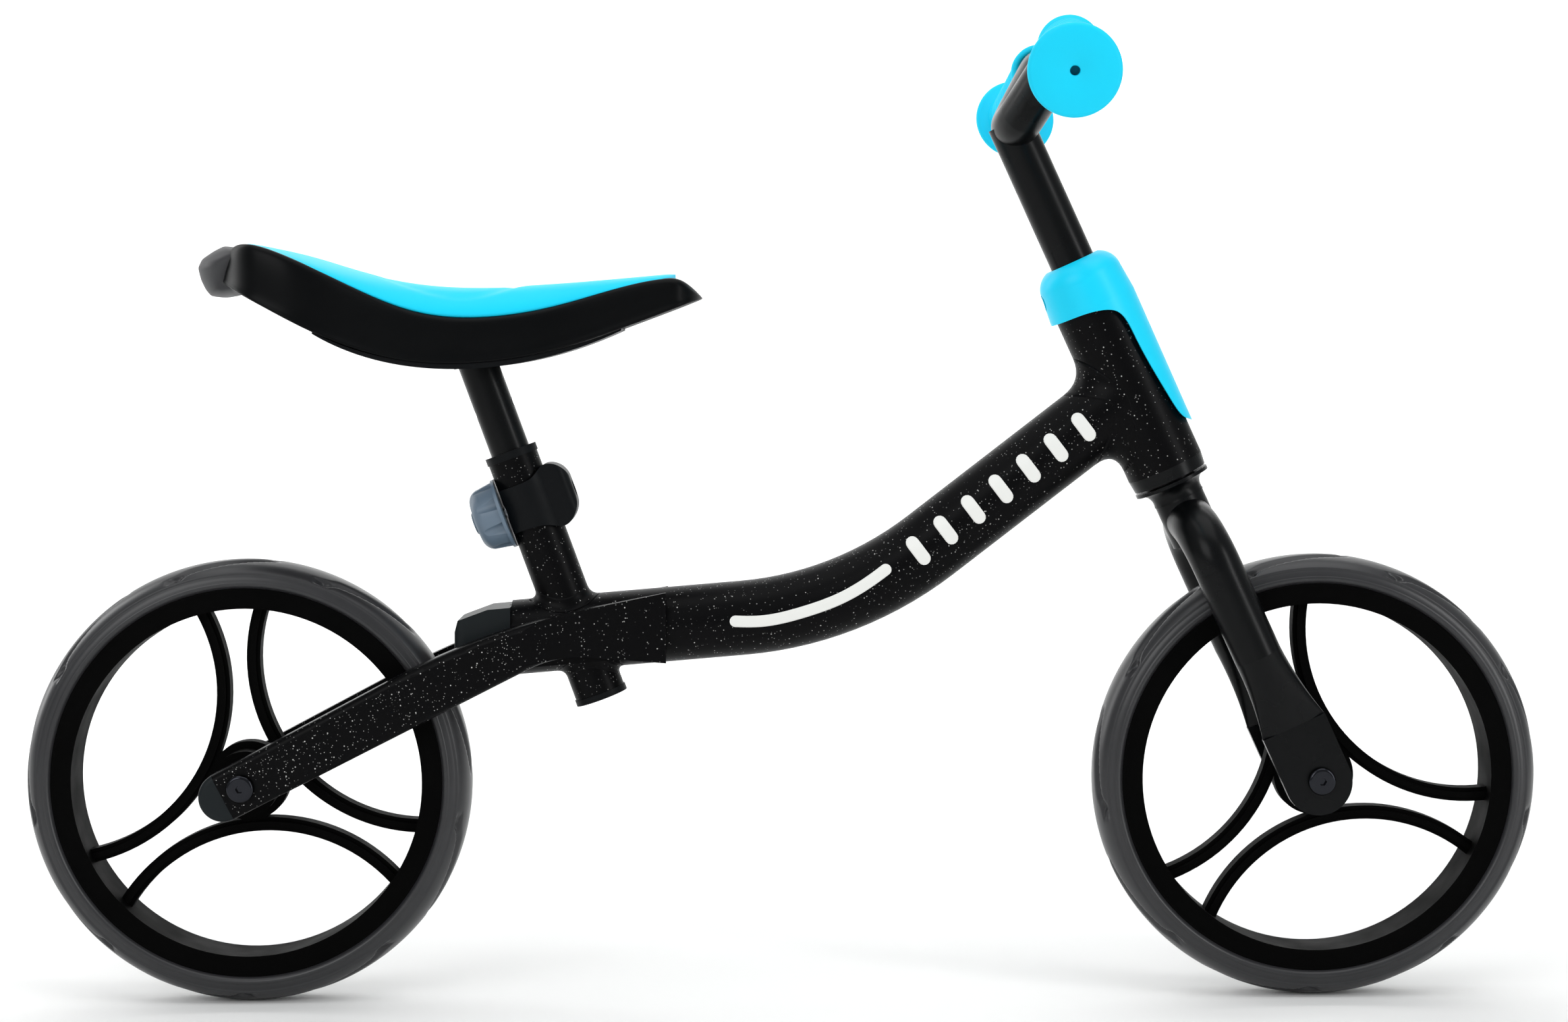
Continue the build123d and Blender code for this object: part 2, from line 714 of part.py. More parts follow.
grip_tip = Vector(*bar_points[0])
grip_root = Vector(*bar_points[1])
grip_way = (grip_tip - grip_root).normalized()
grip_face = grip_tip + grip_way * grip_end_wall
with BuildPart() as grip_right:
    grip_level = grip_way.cross(Vector(0, 0, 1)).normalized()
    grip_section = Plane(origin=grip_face, x_dir=grip_level, z_dir=grip_way)
    with BuildSketch(grip_section):
        Circle(grip_flange_radius)
    extrude(amount=-grip_flange_thickness)
    fillet(grip_right.edges(), grip_edge)
    with BuildSketch(grip_section.offset(-grip_flange_thickness)):
        Circle(grip_radius)
    extrude(amount=grip_flange_thickness - grip_length)
    with BuildSketch(grip_section.offset(-grip_length)):
        Circle(grip_collar_radius)
    extrude(amount=grip_collar_length)
    with BuildSketch(grip_section.offset(-grip_end_wall)):
        Circle(bar_radius + grip_fit)
    extrude(amount=-grip_length, mode=Mode.SUBTRACT)
    # wider mouth, because the bar's bend starts inside it
    with BuildSketch(grip_section.offset(-grip_length)):
        Circle(grip_mouth_radius)
    extrude(amount=grip_mouth_depth, mode=Mode.SUBTRACT)
    with BuildSketch(grip_section):
        Circle(grip_hole_radius)
    extrude(amount=-grip_end_wall, mode=Mode.SUBTRACT)
grip_right.part.label = "grip_right"
export_step(grip_right.part, "parts/grip_right.step")

with BuildPart() as grip_left:
    mirror(grip_right.part, about=Plane.XZ)
grip_left.part.label = "grip_left"
export_step(grip_left.part, "parts/grip_left.step")

# ---------------------------------------------------------------- steering collar and its cover
clamp_low = race_ring_high + clamp_race_gap
clamp_high = clamp_low + clamp_ring_height
screw_height = (clamp_low + clamp_high) / 2
screw_origin = Vector(*steer_foot) + Vector(*steer_up) * screw_height
screw_plane = Plane(origin=screw_origin, x_dir=(0, 1, 0), z_dir=(-steer_rise, 0, -steer_back))
with BuildPart() as stem_clamp:
    add(ring(steer, clamp_low, clamp_high, clamp_ring_radius, steerer_radius))
    with BuildSketch(screw_plane):
        Circle(clamp_screw_radius)
    extrude(amount=clamp_ring_radius + 1, mode=Mode.SUBTRACT)
stem_clamp.part.label = "stem_clamp"
export_step(stem_clamp.part, "parts/stem_clamp.step")

with BuildPart() as stem_clamp_screw:
    with BuildSketch(screw_plane.offset(steerer_radius)):
        Circle(clamp_screw_radius)
    extrude(amount=clamp_ring_radius + 0.5 - steerer_radius)
    with BuildSketch(screw_plane.offset(clamp_ring_radius + 0.5)):
        Circle(clamp_screw_head_radius)
    extrude(amount=clamp_screw_head)
    with BuildSketch(screw_plane.offset(clamp_ring_radius + 0.5 + clamp_screw_head)):
        RegularPolygon(small_hex_socket / 2, 6, major_radius=False)
    extrude(amount=-small_hex_depth, mode=Mode.SUBTRACT)
stem_clamp_screw.part.label = "stem_clamp_screw"
export_step(stem_clamp_screw.part, "parts/stem_clamp_screw.step")

cover_low = head_tube_top - 2.0
cover_top = cover_low + cover_height
tongue_low = cover_low - cover_tongue_length
cover_inner = head_tube_radius + cover_head_gap
cover_radius = cover_inner + cover_wall
with BuildPart() as steering_cover:
    with BuildSketch(steer_side):
        with BuildLine():
            shoulder = (cover_radius - 1.4, cover_top - 12.0)
            neck = (cover_radius - 9.5, cover_top)
            Polyline(
                (cover_inner, tongue_low),
                (cover_radius - 0.6, tongue_low),
                (cover_radius, cover_low + 2.0),
                shoulder,
            )
            ThreePointArc(shoulder, (cover_radius - 4.0, cover_top - 4.2), neck)
            Polyline(
                neck,
                (stem_radius + 0.4, cover_top),
                (stem_radius + 0.4, cover_top - 2.6),
                (cover_inner - 6.0, cover_top - 3.4),
                (cover_inner - 1.6, cover_top - 9.0),
                (cover_inner, cover_low + 6.0),
                (cover_inner, tongue_low),
            )
        make_face()
    revolve(axis=steer_axis)
    # side outline: a ring with a long tongue down the front
    with BuildSketch(steer_side.offset(-cover_radius - 2)) as cover_outline:
        with BuildLine():
            tongue_root = (12.5, cover_low - 21.0)
            Polyline((-cover_radius - 2, cover_top + 1), (-cover_radius - 2, cover_low + 1))
            Spline(
                (-cover_radius - 2, cover_low + 1),
                (0.0, cover_low - 1.3),
                (8.8, cover_low - 5.6),
                tongue_root,
                (16.4, cover_low - 61.0),
                (20.5, cover_low - 76.0),
                (cover_radius, tongue_low),
                tangents=((1, -0.06), (0.65, -0.76)),
            )
            Polyline(
                (cover_radius, tongue_low),
                (cover_radius + 2, tongue_low),
                (cover_radius + 2, cover_top + 1),
                (-cover_radius - 2, cover_top + 1),
            )
        make_face()
    extrude(amount=2 * cover_radius + 4, mode=Mode.INTERSECT)
    with BuildSketch(screw_plane.offset(clamp_ring_radius)):
        Circle(clamp_screw_head_radius + 0.5)
    extrude(amount=cover_radius, mode=Mode.SUBTRACT)
steering_cover.part.label = "steering_cover"
export_step(steering_cover.part, "parts/steering_cover.step")


# ---------------------------------------------------------------- wheels
tyre_seat = wheel_radius - tyre_seat_depth
rim_outer = tyre_seat + rim_flange_height
rim_inner = tyre_seat - rim_floor
rim_half = tyre_width / 2 - 2.8
rim_channel = rim_half - rim_wall
spoke_end_x = rim_inner * cos(radians(spoke_end_angle))
spoke_end_y = rim_inner * sin(radians(spoke_end_angle))
spoke_reach = spoke_end_x - spoke_hub_gap
spoke_arc_radius = (spoke_reach**2 + spoke_end_y**2) / (2 * spoke_reach)
spoke_arc_centre = spoke_hub_gap + spoke_arc_radius
hub_web_radius = spoke_hub_gap - 2.6
web_outer = tyre_seat - 1.0


def wheel_middle(axle_x):
    """Mid plane of a wheel, facing the rider's right."""
    return Plane(origin=(axle_x, 0, axle_z), x_dir=(1, 0, 0), z_dir=(0, -1, 0))


def make_tyre(axle_x):
    """Solid foam tyre: a half ellipse crown above a foot that sits in the rim's channel."""
    half = tyre_width / 2
    crown_start = rim_outer + 3.5
    crown_height = wheel_radius - crown_start
    with BuildPart() as tyre:
        with BuildSketch(Plane(origin=(axle_x, 0, axle_z), x_dir=(1, 0, 0), z_dir=(0, 0, 1))):
            with BuildLine():
                Polyline(
                    (crown_start, half),
                    (rim_outer, rim_half + 1.4),
                    (rim_outer, rim_channel),
                    (tyre_seat, rim_channel),
                    (tyre_seat, -rim_channel),
                    (rim_outer, -rim_channel),
                    (rim_outer, -rim_half - 1.4),
                    (crown_start, -half),
                )
                EllipticalCenterArc((crown_start, 0), crown_height, half, start_angle=-90, arc_size=180)
            make_face()
        revolve(axis=Axis((axle_x, 0, axle_z), (0, 1, 0)))
    return tyre.part


with BuildSketch() as rim_band:
    Circle(web_outer)
    Circle(rim_inner, mode=Mode.SUBTRACT)


def make_rim(axle_x, turn):
    """One moulding: channelled rim, three C arcs with centre ribs, and the hub."""
    middle = wheel_middle(axle_x)
    with BuildPart() as rim:
        with BuildSketch(middle) as web:
            with PolarLocations(spoke_arc_centre, 3, start_angle=turn):
                Circle(spoke_arc_radius + spoke_width / 2)
                Circle(spoke_arc_radius - spoke_width / 2, mode=Mode.SUBTRACT)
            Circle(web_outer, mode=Mode.INTERSECT)
            Circle(hub_web_radius)
            add(rim_band.sketch)
            roots = web.vertices().filter_by(lambda v: (v.center() - middle.origin).length < rim_inner + 1)
            fillet(roots, spoke_fillet)
        extrude(amount=spoke_depth / 2, both=True)
        with BuildSketch(middle):
            with PolarLocations(spoke_arc_centre, 3, start_angle=turn):
                Circle(spoke_arc_radius + spoke_rib_width / 2)
                Circle(spoke_arc_radius - spoke_rib_width / 2, mode=Mode.SUBTRACT)
            Circle(web_outer, mode=Mode.INTERSECT)
        extrude(amount=spoke_rib_depth / 2, both=True)
        with BuildSketch(Plane(origin=(axle_x, 0, axle_z), x_dir=(1, 0, 0), z_dir=(0, 0, 1))):
            with BuildLine():
                Polyline(
                    (rim_inner, -rim_half),
                    (rim_outer, -rim_half),
                    (rim_outer, -rim_channel),
                    (tyre_seat, -rim_channel),
                    (tyre_seat, rim_channel),
                    (rim_outer, rim_channel),
                    (rim_outer, rim_half),
                    (rim_inner, rim_half),
                    close=True,
                )
            make_face()
        revolve(axis=Axis((axle_x, 0, axle_z), (0, 1, 0)))
        with BuildSketch(middle):
            Circle(hub_radius)
        extrude(amount=hub_half, both=True)
        with BuildSketch(middle):
            Circle(axle_radius + sleeve_wall + sleeve_gap)
        extrude(amount=hub_half, both=True, mode=Mode.SUBTRACT)
        for end in (-1, 1):
            with BuildSketch(middle.offset(end * hub_half)):
                Circle(bearing_radius)
            extrude(amount=-end * bearing_width, mode=Mode.SUBTRACT)
    return rim.part


def make_wheel_bearings(axle_x):
    """Two sealed ball bearings, one pressed into each end of the hub."""
    middle = wheel_middle(axle_x)
    bore = axle_radius + axle_fit
    with BuildPart() as bearings:
        add(ring(middle, hub_half - bearing_width, hub_half, bearing_radius, bore))
        add(ring(middle, -hub_half, bearing_width - hub_half, bearing_radius, bore))
    return bearings.part


def make_hub_sleeve(axle_x):
    """The tube on the axle that keeps the two bearings apart."""
    half = hub_half - bearing_width - wheel_side_gap
    return ring(wheel_middle(axle_x), -half, half, axle_radius + sleeve_wall, axle_radius)


def make_axle(axle_x, half):
    """Axle rod with a tapped hole in each end."""
    middle = wheel_middle(axle_x)
    with BuildPart() as axle:
        add(rod(middle, -half, half, axle_radius))
        for end in (-1, 1):
            with BuildSketch(middle.offset(end * half)):
                Circle(bolt_shank_radius)
            extrude(amount=-end * (bolt_shank_length + 1), mode=Mode.SUBTRACT)
    return axle.part


def make_axle_bolts(axle_x, half):
    """The two domed hex bolts that close the axle's ends."""
    with BuildPart() as bolts:
        for way in (-1, 1):
            outward = Plane(origin=(axle_x, 0, axle_z), x_dir=(1, 0, 0), z_dir=(0, way, 0))
            add(button_bolt(outward, half))
    return bolts.part


def make_spacers(axle_x, outer):
    """A plain washer at each side, between the bearing and the frame."""
    middle = wheel_middle(axle_x)
    inner = hub_half + wheel_side_gap
    with BuildPart() as spacers:
        add(ring(middle, inner, outer, axle_radius + spacer_wall, axle_radius))
        add(ring(middle, -outer, -inner, axle_radius + spacer_wall, axle_radius))
    return spacers.part


front_outer = front_dropout_inner + dropout_thickness
wheel_sets = [
    ("rear", rear_axle_x, rear_spoke_turn, stay_inner, stay_outer),
    ("front", front_axle_x, front_spoke_turn, front_dropout_inner, front_outer),
]
for end_name, axle_x, turn, inner_face, outer_face in wheel_sets:
    wheel_pieces = {
        "tyre": make_tyre(axle_x),
        "rim": make_rim(axle_x, turn),
        "wheel_bearings": make_wheel_bearings(axle_x),
        "hub_sleeve": make_hub_sleeve(axle_x),
        "axle": make_axle(axle_x, outer_face),
        "axle_bolts": make_axle_bolts(axle_x, outer_face),
        "axle_spacers": make_spacers(axle_x, inner_face),
    }
    for piece_name, piece in wheel_pieces.items():
        piece.label = f"{end_name}_{piece_name}"
        export_step(piece, f"parts/{end_name}_{piece_name}.step")

# ---------------------------------------------------------------- seat clamp and knob
clamp_outer = seat_tube_radius + clamp_wall
clamp_seat_face = clamp_lobe_reach - clamp_counterbore
with BuildPart() as seat_clamp:
    with BuildSketch(seat_side.offset(-clamp_outer)):
        with BuildLine():
            low = clamp_height - clamp_band_half
            high = clamp_height + clamp_band_half
            Line((-clamp_back, low), (-clamp_back, high))
            Spline(
                (-clamp_back, high),
                (0.0, high),
                (8.0, high + 1.5),
                (15.2, high + 5.6),
                (21.5, high + 3.6),
                (26.2, clamp_height + 9.4),
                (clamp_lobe_reach, clamp_height),
                (25.6, clamp_height - 8.8),
                (22.0, low - 1.6),
                (16.0, low - 5.0),
                (7.0, low - 1.6),
                (-1.0, low),
                (-clamp_back, low),
            )
        make_face()
    extrude(amount=2 * clamp_outer)
    with BuildSketch(seat_line):
        Circle(clamp_outer)
        with Locations((clamp_lobe_reach / 2, 0)):
            RectangleRounded(clamp_lobe_reach, 2 * clamp_lobe_half_width, clamp_lobe_round)
    extrude(amount=seat_tube_up, mode=Mode.INTERSECT)
    add(rod(seat_line, 0, seat_tube_up, seat_tube_radius), mode=Mode.SUBTRACT)
    with BuildSketch(knob_plane.offset(-clamp_lobe_reach - 1)):
        Circle(seat_screw_radius)
    extrude(amount=clamp_lobe_reach, mode=Mode.SUBTRACT)
    with BuildSketch(knob_plane.offset(-clamp_lobe_reach - 1)):
        Circle(clamp_counterbore_radius)
    extrude(amount=clamp_counterbore + 1, mode=Mode.SUBTRACT)
seat_clamp.part.label = "seat_clamp"
export_step(seat_clamp.part, "parts/seat_clamp.step")

with BuildPart() as seat_clamp_screw:
    with BuildSketch(knob_plane.offset(-clamp_seat_face)):
        Circle(seat_screw_radius)
    extrude(amount=clamp_seat_face - seat_bore)
    with BuildSketch(knob_plane.offset(-clamp_seat_face)):
        Circle(clamp_cap_screw_radius)
    extrude(amount=-clamp_cap_screw_head)
    with BuildSketch(knob_plane.offset(-clamp_seat_face - clamp_cap_screw_head)):
        RegularPolygon(small_hex_socket / 2, 6, major_radius=False)
    extrude(amount=small_hex_depth, mode=Mode.SUBTRACT)
seat_clamp_screw.part.label = "seat_clamp_screw"
export_step(seat_clamp_screw.part, "parts/seat_clamp_screw.step")

insert_top = seat_tube_radius - 0.3
with BuildPart() as knob_insert:
    thread_radius = knob_screw_radius + screw_thread_fit
    add(ring(knob_plane, insert_top - insert_depth, insert_top, insert_radius, thread_radius))
knob_insert.part.label = "knob_insert"
export_step(knob_insert.part, "parts/knob_insert.step")

knob_foot = seat_tube_radius + knob_gap
knob_face = knob_foot + knob_depth
with BuildPart() as knob:
    with BuildSketch(Plane(origin=knob_place, x_dir=(0, 1, 0), z_dir=seat_up)):
        with BuildLine():
            Polyline(
                (0.0, knob_foot),
                (knob_radius, knob_foot),
                (knob_radius, knob_foot + knob_flange),
                (knob_grip_radius, knob_foot + knob_flange),
            )
            grip_end = (knob_grip_radius - 1.4, knob_foot + 0.62 * knob_depth)
            face_edge = (knob_face_radius, knob_face)
            Line((knob_grip_radius, knob_foot + knob_flange), grip_end)
            ThreePointArc(grip_end, (knob_grip_radius - 3.2, knob_foot + 0.88 * knob_depth), face_edge)
            Polyline(face_edge, (0.0, knob_face), (0.0, knob_foot))
        make_face()
    revolve(axis=Axis(knob_place, knob_plane.z_dir))
    with BuildSketch(knob_plane.offset(knob_foot + knob_flange)):
        flute_circle = knob_grip_radius + knob_lobe_cut
        with PolarLocations(flute_circle, knob_lobes, start_angle=180 / knob_lobes):
            Circle(knob_lobe_cut * 2)
    extrude(amount=knob_depth, mode=Mode.SUBTRACT)
    with BuildSketch(knob_plane.offset(knob_foot)):
        Circle(knob_screw_radius)
    extrude(amount=knob_depth, mode=Mode.SUBTRACT)
knob.part.label = "clamp_knob"
export_step(knob.part, "parts/clamp_knob.step")

with BuildPart() as knob_cap:
    add(rod(knob_plane, knob_face, knob_face + knob_cap_depth, knob_cap_radius))
    fillet(knob_cap.edges().sort_by(Axis(knob_place, knob_plane.z_dir))[-1], knob_cap_edge)
knob_cap.part.label = "knob_cap"
export_step(knob_cap.part, "parts/knob_cap.step")

with BuildPart() as knob_screw:
    add(rod(knob_plane, post_radius + screw_post_gap, knob_face, knob_screw_radius))
knob_screw.part.label = "knob_screw"
export_step(knob_screw.part, "parts/knob_screw.step")

# ---------------------------------------------------------------- seat post
post_top = seat_height + post_top_above_seat
post_low = post_top - post_length
with BuildPart() as seat_post:
    add(ring(seat_line, post_low, post_top, post_radius, post_radius - post_wall))
    for step in range(post_steps):
        hole_height = (step - 2) * post_hole_pitch
        hole_place = knob_place + Vector(*seat_up) * hole_height
        with BuildSketch(Plane(origin=hole_place, x_dir=(0, 1, 0), z_dir=knob_plane.z_dir)):
            Circle(post_hole_radius)
        extrude(amount=post_radius + 1, both=True, mode=Mode.SUBTRACT)
seat_post.part.label = "seat_post"
export_step(seat_post.part, "parts/seat_post.step")

with BuildPart() as seat_post_cap:
    post_bore = post_radius - post_wall
    add(rod(seat_line, post_low - post_cap_height, post_low, post_radius - 0.2))
    add(ring(seat_line, post_low, post_low + post_cap_tenon, post_bore, post_bore - post_cap_wall))
seat_post_cap.part.label = "seat_post_cap"
export_step(seat_post_cap.part, "parts/seat_post_cap.step")

# ---------------------------------------------------------------- seat
# side curves are given as X and Z from the seat centre
seat_plane = Plane(origin=seat_centre, x_dir=(1, 0, 0), z_dir=(0, -1, 0))
seat_low = [(-143, 50.2), (-84, 19.7), (-40, 4.5), (-10.7, 2.0), (44, 9.1), (81, 20.9), (127, 38)]
seat_rim = [(-129, 67), (-104.7, 63), (-73, 48.9), (-32.3, 31), (3.2, 27.3), (47.8, 34.3), (104.9, 48.3)]
seat_nose = [(118, 45.5), (127, 40.5)]
pad_top = [(-125, 69), (-96.5, 62.7), (-67.8, 54.2), (-25.5, 45.7), (28.4, 45.3), (67, 47.7), (104.9, 51)]
seat_plate_shares = (0.3, 0.8, 0.85, 0.8, 0.3)
seat_reach = seat_half_width + 5


def shifted(points, rise):
    """The same side curve, moved straight up."""
    return [(x, z + rise) for x, z in points]


def seat_outline(inset):
    """Plan outline of the seat, wide at the back and narrow at the nose."""
    back = seat_centre.X - 141.5 + inset
    nose = seat_centre.X + 125.4 - inset
    wide = seat_half_width - inset
    slim = seat_nose_half_width - inset
    side = [
        (back + 5, 0.6 * wide),
        (back + 20, 0.86 * wide),
        (back + 46, wide),
        (back + 78, 0.88 * wide),
        (back + 130, slim + 15),
        (back + 180, slim + 4),
        (nose - 45, slim),
        (nose - 16, 0.85 * slim),
        (nose - 4, 0.5 * slim),
    ]
    with BuildSketch(Plane.XY) as outline:
        with BuildLine():
            Spline((back, 0), *side, (nose, 0), tangents=((0, 1), (0, -1)))
            mirror(about=Plane.XZ)
        make_face()
    return outline.sketch


def seat_slab(low_curve, top_curve, inset):
    """A slab between two side curves, trimmed to the seat's plan outline."""
    with BuildPart() as slab:
        with BuildSketch(seat_plane.offset(-seat_reach)):
            with BuildLine():
                Spline(*low_curve)
                Line(low_curve[-1], top_curve[-1])
                Spline(*top_curve)
                Line(low_curve[0], top_curve[0])
            make_face()
        extrude(amount=2 * seat_reach)
        extrude(seat_outline(inset), amount=2 * seat_centre.Z, mode=Mode.INTERSECT)
    return slab.part


boss_places = [(x, y) for x in (-boss_ahead, boss_ahead) for y in (-boss_aside, boss_aside)]
bracket_top = bracket_rise + bracket_thickness
with BuildPart() as seat_shell:
    add(seat_slab(seat_low, seat_rim + seat_nose, 0))
    hollow_top = shifted(seat_rim[1:], -seat_shell_wall)
    add(seat_slab(shifted(seat_low[1:-1], -8), hollow_top, seat_shell_wall), mode=Mode.SUBTRACT)
    with BuildSketch(Plane.XY.offset(seat_centre.Z + bracket_top)):
        with Locations([(seat_centre.X + x, y) for x, y in boss_places]):
            Circle(boss_radius)
    extrude(amount=boss_length)
    with BuildSketch(Plane.XY.offset(seat_centre.Z + bracket_top)):
        with Locations([(seat_centre.X + x, y) for x, y in boss_places]):
            Circle(seat_screw_radius)
    extrude(amount=boss_bore, mode=Mode.SUBTRACT)
seat_shell.part.label = "seat_shell"
export_step(seat_shell.part, "parts/seat_shell.step")

with BuildPart() as seat_base_plate:
    plate_top = seat_low[1:-1]
    drops = [seat_plate_thickness * share for share in seat_plate_shares]
    plate_low = [(x, z - drop) for (x, z), drop in zip(plate_top, drops)]
    add(seat_slab(plate_low, plate_top, seat_plate_inset))
    hole_radius = post_radius + bracket_socket_wall + seat_plate_clearance
    add(rod(seat_line, seat_height - 30, seat_height + 30, hole_radius), mode=Mode.SUBTRACT)
seat_base_plate.part.label = "seat_base_plate"
export_step(seat_base_plate.part, "parts/seat_base_plate.step")

with BuildPart() as seat_pad:
    add(seat_slab(seat_rim, pad_top, 0))
seat_pad.part.label = "seat_pad"
export_step(seat_pad.part, "parts/seat_pad.step")

tail_curve = [
    (-131.8, 68.4),
    (-143.6, 65.6),
    (-150.2, 60.5),
    (-153.8, 56.0),
    (-152.5, 48.5),
    (-144.0, 39.7),
]
with BuildPart() as seat_tail_grip:
    with BuildSketch(seat_plane.offset(-tail_half_width)):
        with BuildLine():
            Polyline((-120.0, 66.0), tail_curve[0])
            Spline(*tail_curve)
            Polyline(tail_curve[-1], (-120.0, 38.0), (-120.0, 66.0))
        make_face()
    extrude(amount=2 * tail_half_width)
    with BuildSketch(Plane.XY.offset(seat_centre.Z)):
        with Locations((seat_centre.X - 153.8 + tail_half_width * tail_round, 0)):
            Circle(tail_half_width * tail_round)
    extrude(amount=100, mode=Mode.INTERSECT)
    extrude(seat_outline(0), amount=2 * seat_centre.Z, mode=Mode.SUBTRACT)
seat_tail_grip.part.label = "seat_tail_grip"
export_step(seat_tail_grip.part, "parts/seat_tail_grip.step")

with BuildPart() as seat_bracket:
    with BuildSketch(Plane.XY.offset(seat_centre.Z + bracket_rise)):
        with Locations((seat_centre.X, 0)):
            RectangleRounded(bracket_length, bracket_width, bracket_corner)
        with Locations([(seat_centre.X + x, y) for x, y in boss_places]):
            Circle(seat_screw_radius, mode=Mode.SUBTRACT)
    extrude(amount=bracket_thickness)
    add(rod(seat_line, seat_height + bracket_socket_drop, post_top, post_radius + bracket_socket_wall))
    add(rod(seat_line, seat_height - 5.0, post_top + 5, post_radius), mode=Mode.SUBTRACT)
seat_bracket.part.label = "seat_bracket"
export_step(seat_bracket.part, "parts/seat_bracket.step")

with BuildPart() as seat_screws:
    screw_level = seat_centre.Z + bracket_rise
    with BuildSketch(Plane.XY.offset(screw_level)):
        with Locations([(seat_centre.X + x, y) for x, y in boss_places]):
            Circle(seat_screw_radius)
    extrude(amount=bracket_thickness + screw_grip)
    with BuildSketch(Plane.XY.offset(screw_level)):
        with Locations([(seat_centre.X + x, y) for x, y in boss_places]):
            Circle(screw_head_radius)
    extrude(amount=-screw_head_height)
seat_screws.part.label = "seat_screws"
export_step(seat_screws.part, "parts/seat_screws.step")
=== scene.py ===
# %% [markdown]
# # A child's balance bike
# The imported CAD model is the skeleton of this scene: it holds every tube, bearing and bolt, and
# it knows how they move. This script dresses it. What CAD draws plainly, such as the tyre tread,
# the ribbed grips, the moulded seat and the welds, is made again here as finer mesh, and every
# surface gets the finish of the real thing.

import math

import bmesh
import bpy
import numpy as np
from mathutils import Matrix, Vector


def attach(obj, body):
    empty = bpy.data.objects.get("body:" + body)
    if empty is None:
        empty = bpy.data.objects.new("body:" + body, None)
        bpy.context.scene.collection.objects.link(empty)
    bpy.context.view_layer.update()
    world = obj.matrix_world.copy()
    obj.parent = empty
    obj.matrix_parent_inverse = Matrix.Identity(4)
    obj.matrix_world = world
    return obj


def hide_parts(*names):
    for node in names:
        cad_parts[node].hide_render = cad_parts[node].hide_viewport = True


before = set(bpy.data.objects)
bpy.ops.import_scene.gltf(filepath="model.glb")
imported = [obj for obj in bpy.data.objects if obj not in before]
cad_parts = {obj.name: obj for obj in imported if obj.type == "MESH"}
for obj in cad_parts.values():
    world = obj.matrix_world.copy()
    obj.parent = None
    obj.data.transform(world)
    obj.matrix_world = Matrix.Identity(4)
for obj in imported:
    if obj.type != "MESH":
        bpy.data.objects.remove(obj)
scene = bpy.context.scene
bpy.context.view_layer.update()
MM = 0.001

# %% [markdown]
# ## Sizes that come from the skeleton
# The steering head leans back and so does the seat tube. A place on either is easiest to give as
# a distance ahead of its axis and a distance along it, so both axes are set up once. All of them
# are in millimetres, as on a drawing, and are turned to metres only when a mesh is made.

# %% Axes of the wheels, the steering head and the seat tube
REAR_AXLE = Vector((-300.0, 0.0, 125.0))
FRONT_AXLE = Vector((300.0, 0.0, 125.0))
HEAD_LEAN = math.radians(24.4)
HEAD_FOOT = Vector((295.0, 0.0, 125.0))
HEAD_UP = Vector((-math.sin(HEAD_LEAN), 0.0, math.cos(HEAD_LEAN)))
HEAD_AHEAD = Vector((math.cos(HEAD_LEAN), 0.0, math.sin(HEAD_LEAN)))
SEAT_LEAN = math.radians(19.9)
SEAT_FOOT = Vector((-115.0, 0.0, 207.7))
SEAT_UP = Vector((-math.sin(SEAT_LEAN), 0.0, math.cos(SEAT_LEAN)))
SEAT_AHEAD = Vector((math.cos(SEAT_LEAN), 0.0, math.sin(SEAT_LEAN)))
SEAT_CENTRE = SEAT_FOOT + SEAT_UP * 159.0
MAIN_RADIUS = 21.0
HEAD_RADIUS = 22.0
SEAT_TUBE_RADIUS = 14.3
REAR_RISE = math.radians(4.6)
CLIMB_RISE = math.radians(37.5)
MAIN_BEND_RADIUS = 200.0
MAIN_TAIL_X = -151.0
# where the main tube's line meets the head's axis
CLIMB_END = HEAD_FOOT + HEAD_UP * 238.5
STRAIGHT_STEPS, BEND_STEPS = 12, 24


def main_tube_line():
    """Centre line of the main tube as X and Z points: a flat run, a long bend, and a climb to the head."""
    rear_slope, front_slope = math.tan(REAR_RISE), math.tan(CLIMB_RISE)
    foot_x, foot_z = SEAT_FOOT.x, SEAT_FOOT.z
    climb_base = CLIMB_END.z - front_slope * CLIMB_END.x
    bend_x = (climb_base - foot_z + foot_x * rear_slope) / (rear_slope - front_slope)
    bend_z = foot_z + (bend_x - foot_x) * rear_slope
    turn = CLIMB_RISE - REAR_RISE
    reach = MAIN_BEND_RADIUS * math.tan(turn / 2)
    flat_way = Vector((math.cos(REAR_RISE), math.sin(REAR_RISE)))
    start = Vector((bend_x, bend_z)) - flat_way * reach
    arc_middle = start + Vector((-flat_way.y, flat_way.x)) * MAIN_BEND_RADIUS
    tail = Vector((MAIN_TAIL_X, foot_z + (MAIN_TAIL_X - foot_x) * rear_slope))
    points = [tail + (start - tail) * s / STRAIGHT_STEPS for s in range(STRAIGHT_STEPS)]
    for s in range(BEND_STEPS + 1):
        a = REAR_RISE - math.pi / 2 + turn * s / BEND_STEPS
        points.append(arc_middle + Vector((math.cos(a), math.sin(a))) * MAIN_BEND_RADIUS)
    bend_end, head_end = points[-1], Vector((CLIMB_END.x, CLIMB_END.z))
    points += [bend_end + (head_end - bend_end) * s / STRAIGHT_STEPS for s in range(1, STRAIGHT_STEPS + 1)]
    return np.array([[p.x, p.y] for p in points])


MAIN_LINE = main_tube_line()
print("main tube runs", round(float(np.sum(np.hypot(*np.diff(MAIN_LINE, axis=0).T))), 1), "mm")

# %% [markdown]
# ## Two small helpers for materials
# A shader is a graph of nodes. One function adds a node, sets its values and links its inputs,
# and one turns the hex colours used by painters and web pages into the linear numbers that light
# is worked out in.

# %% Colour and node helpers


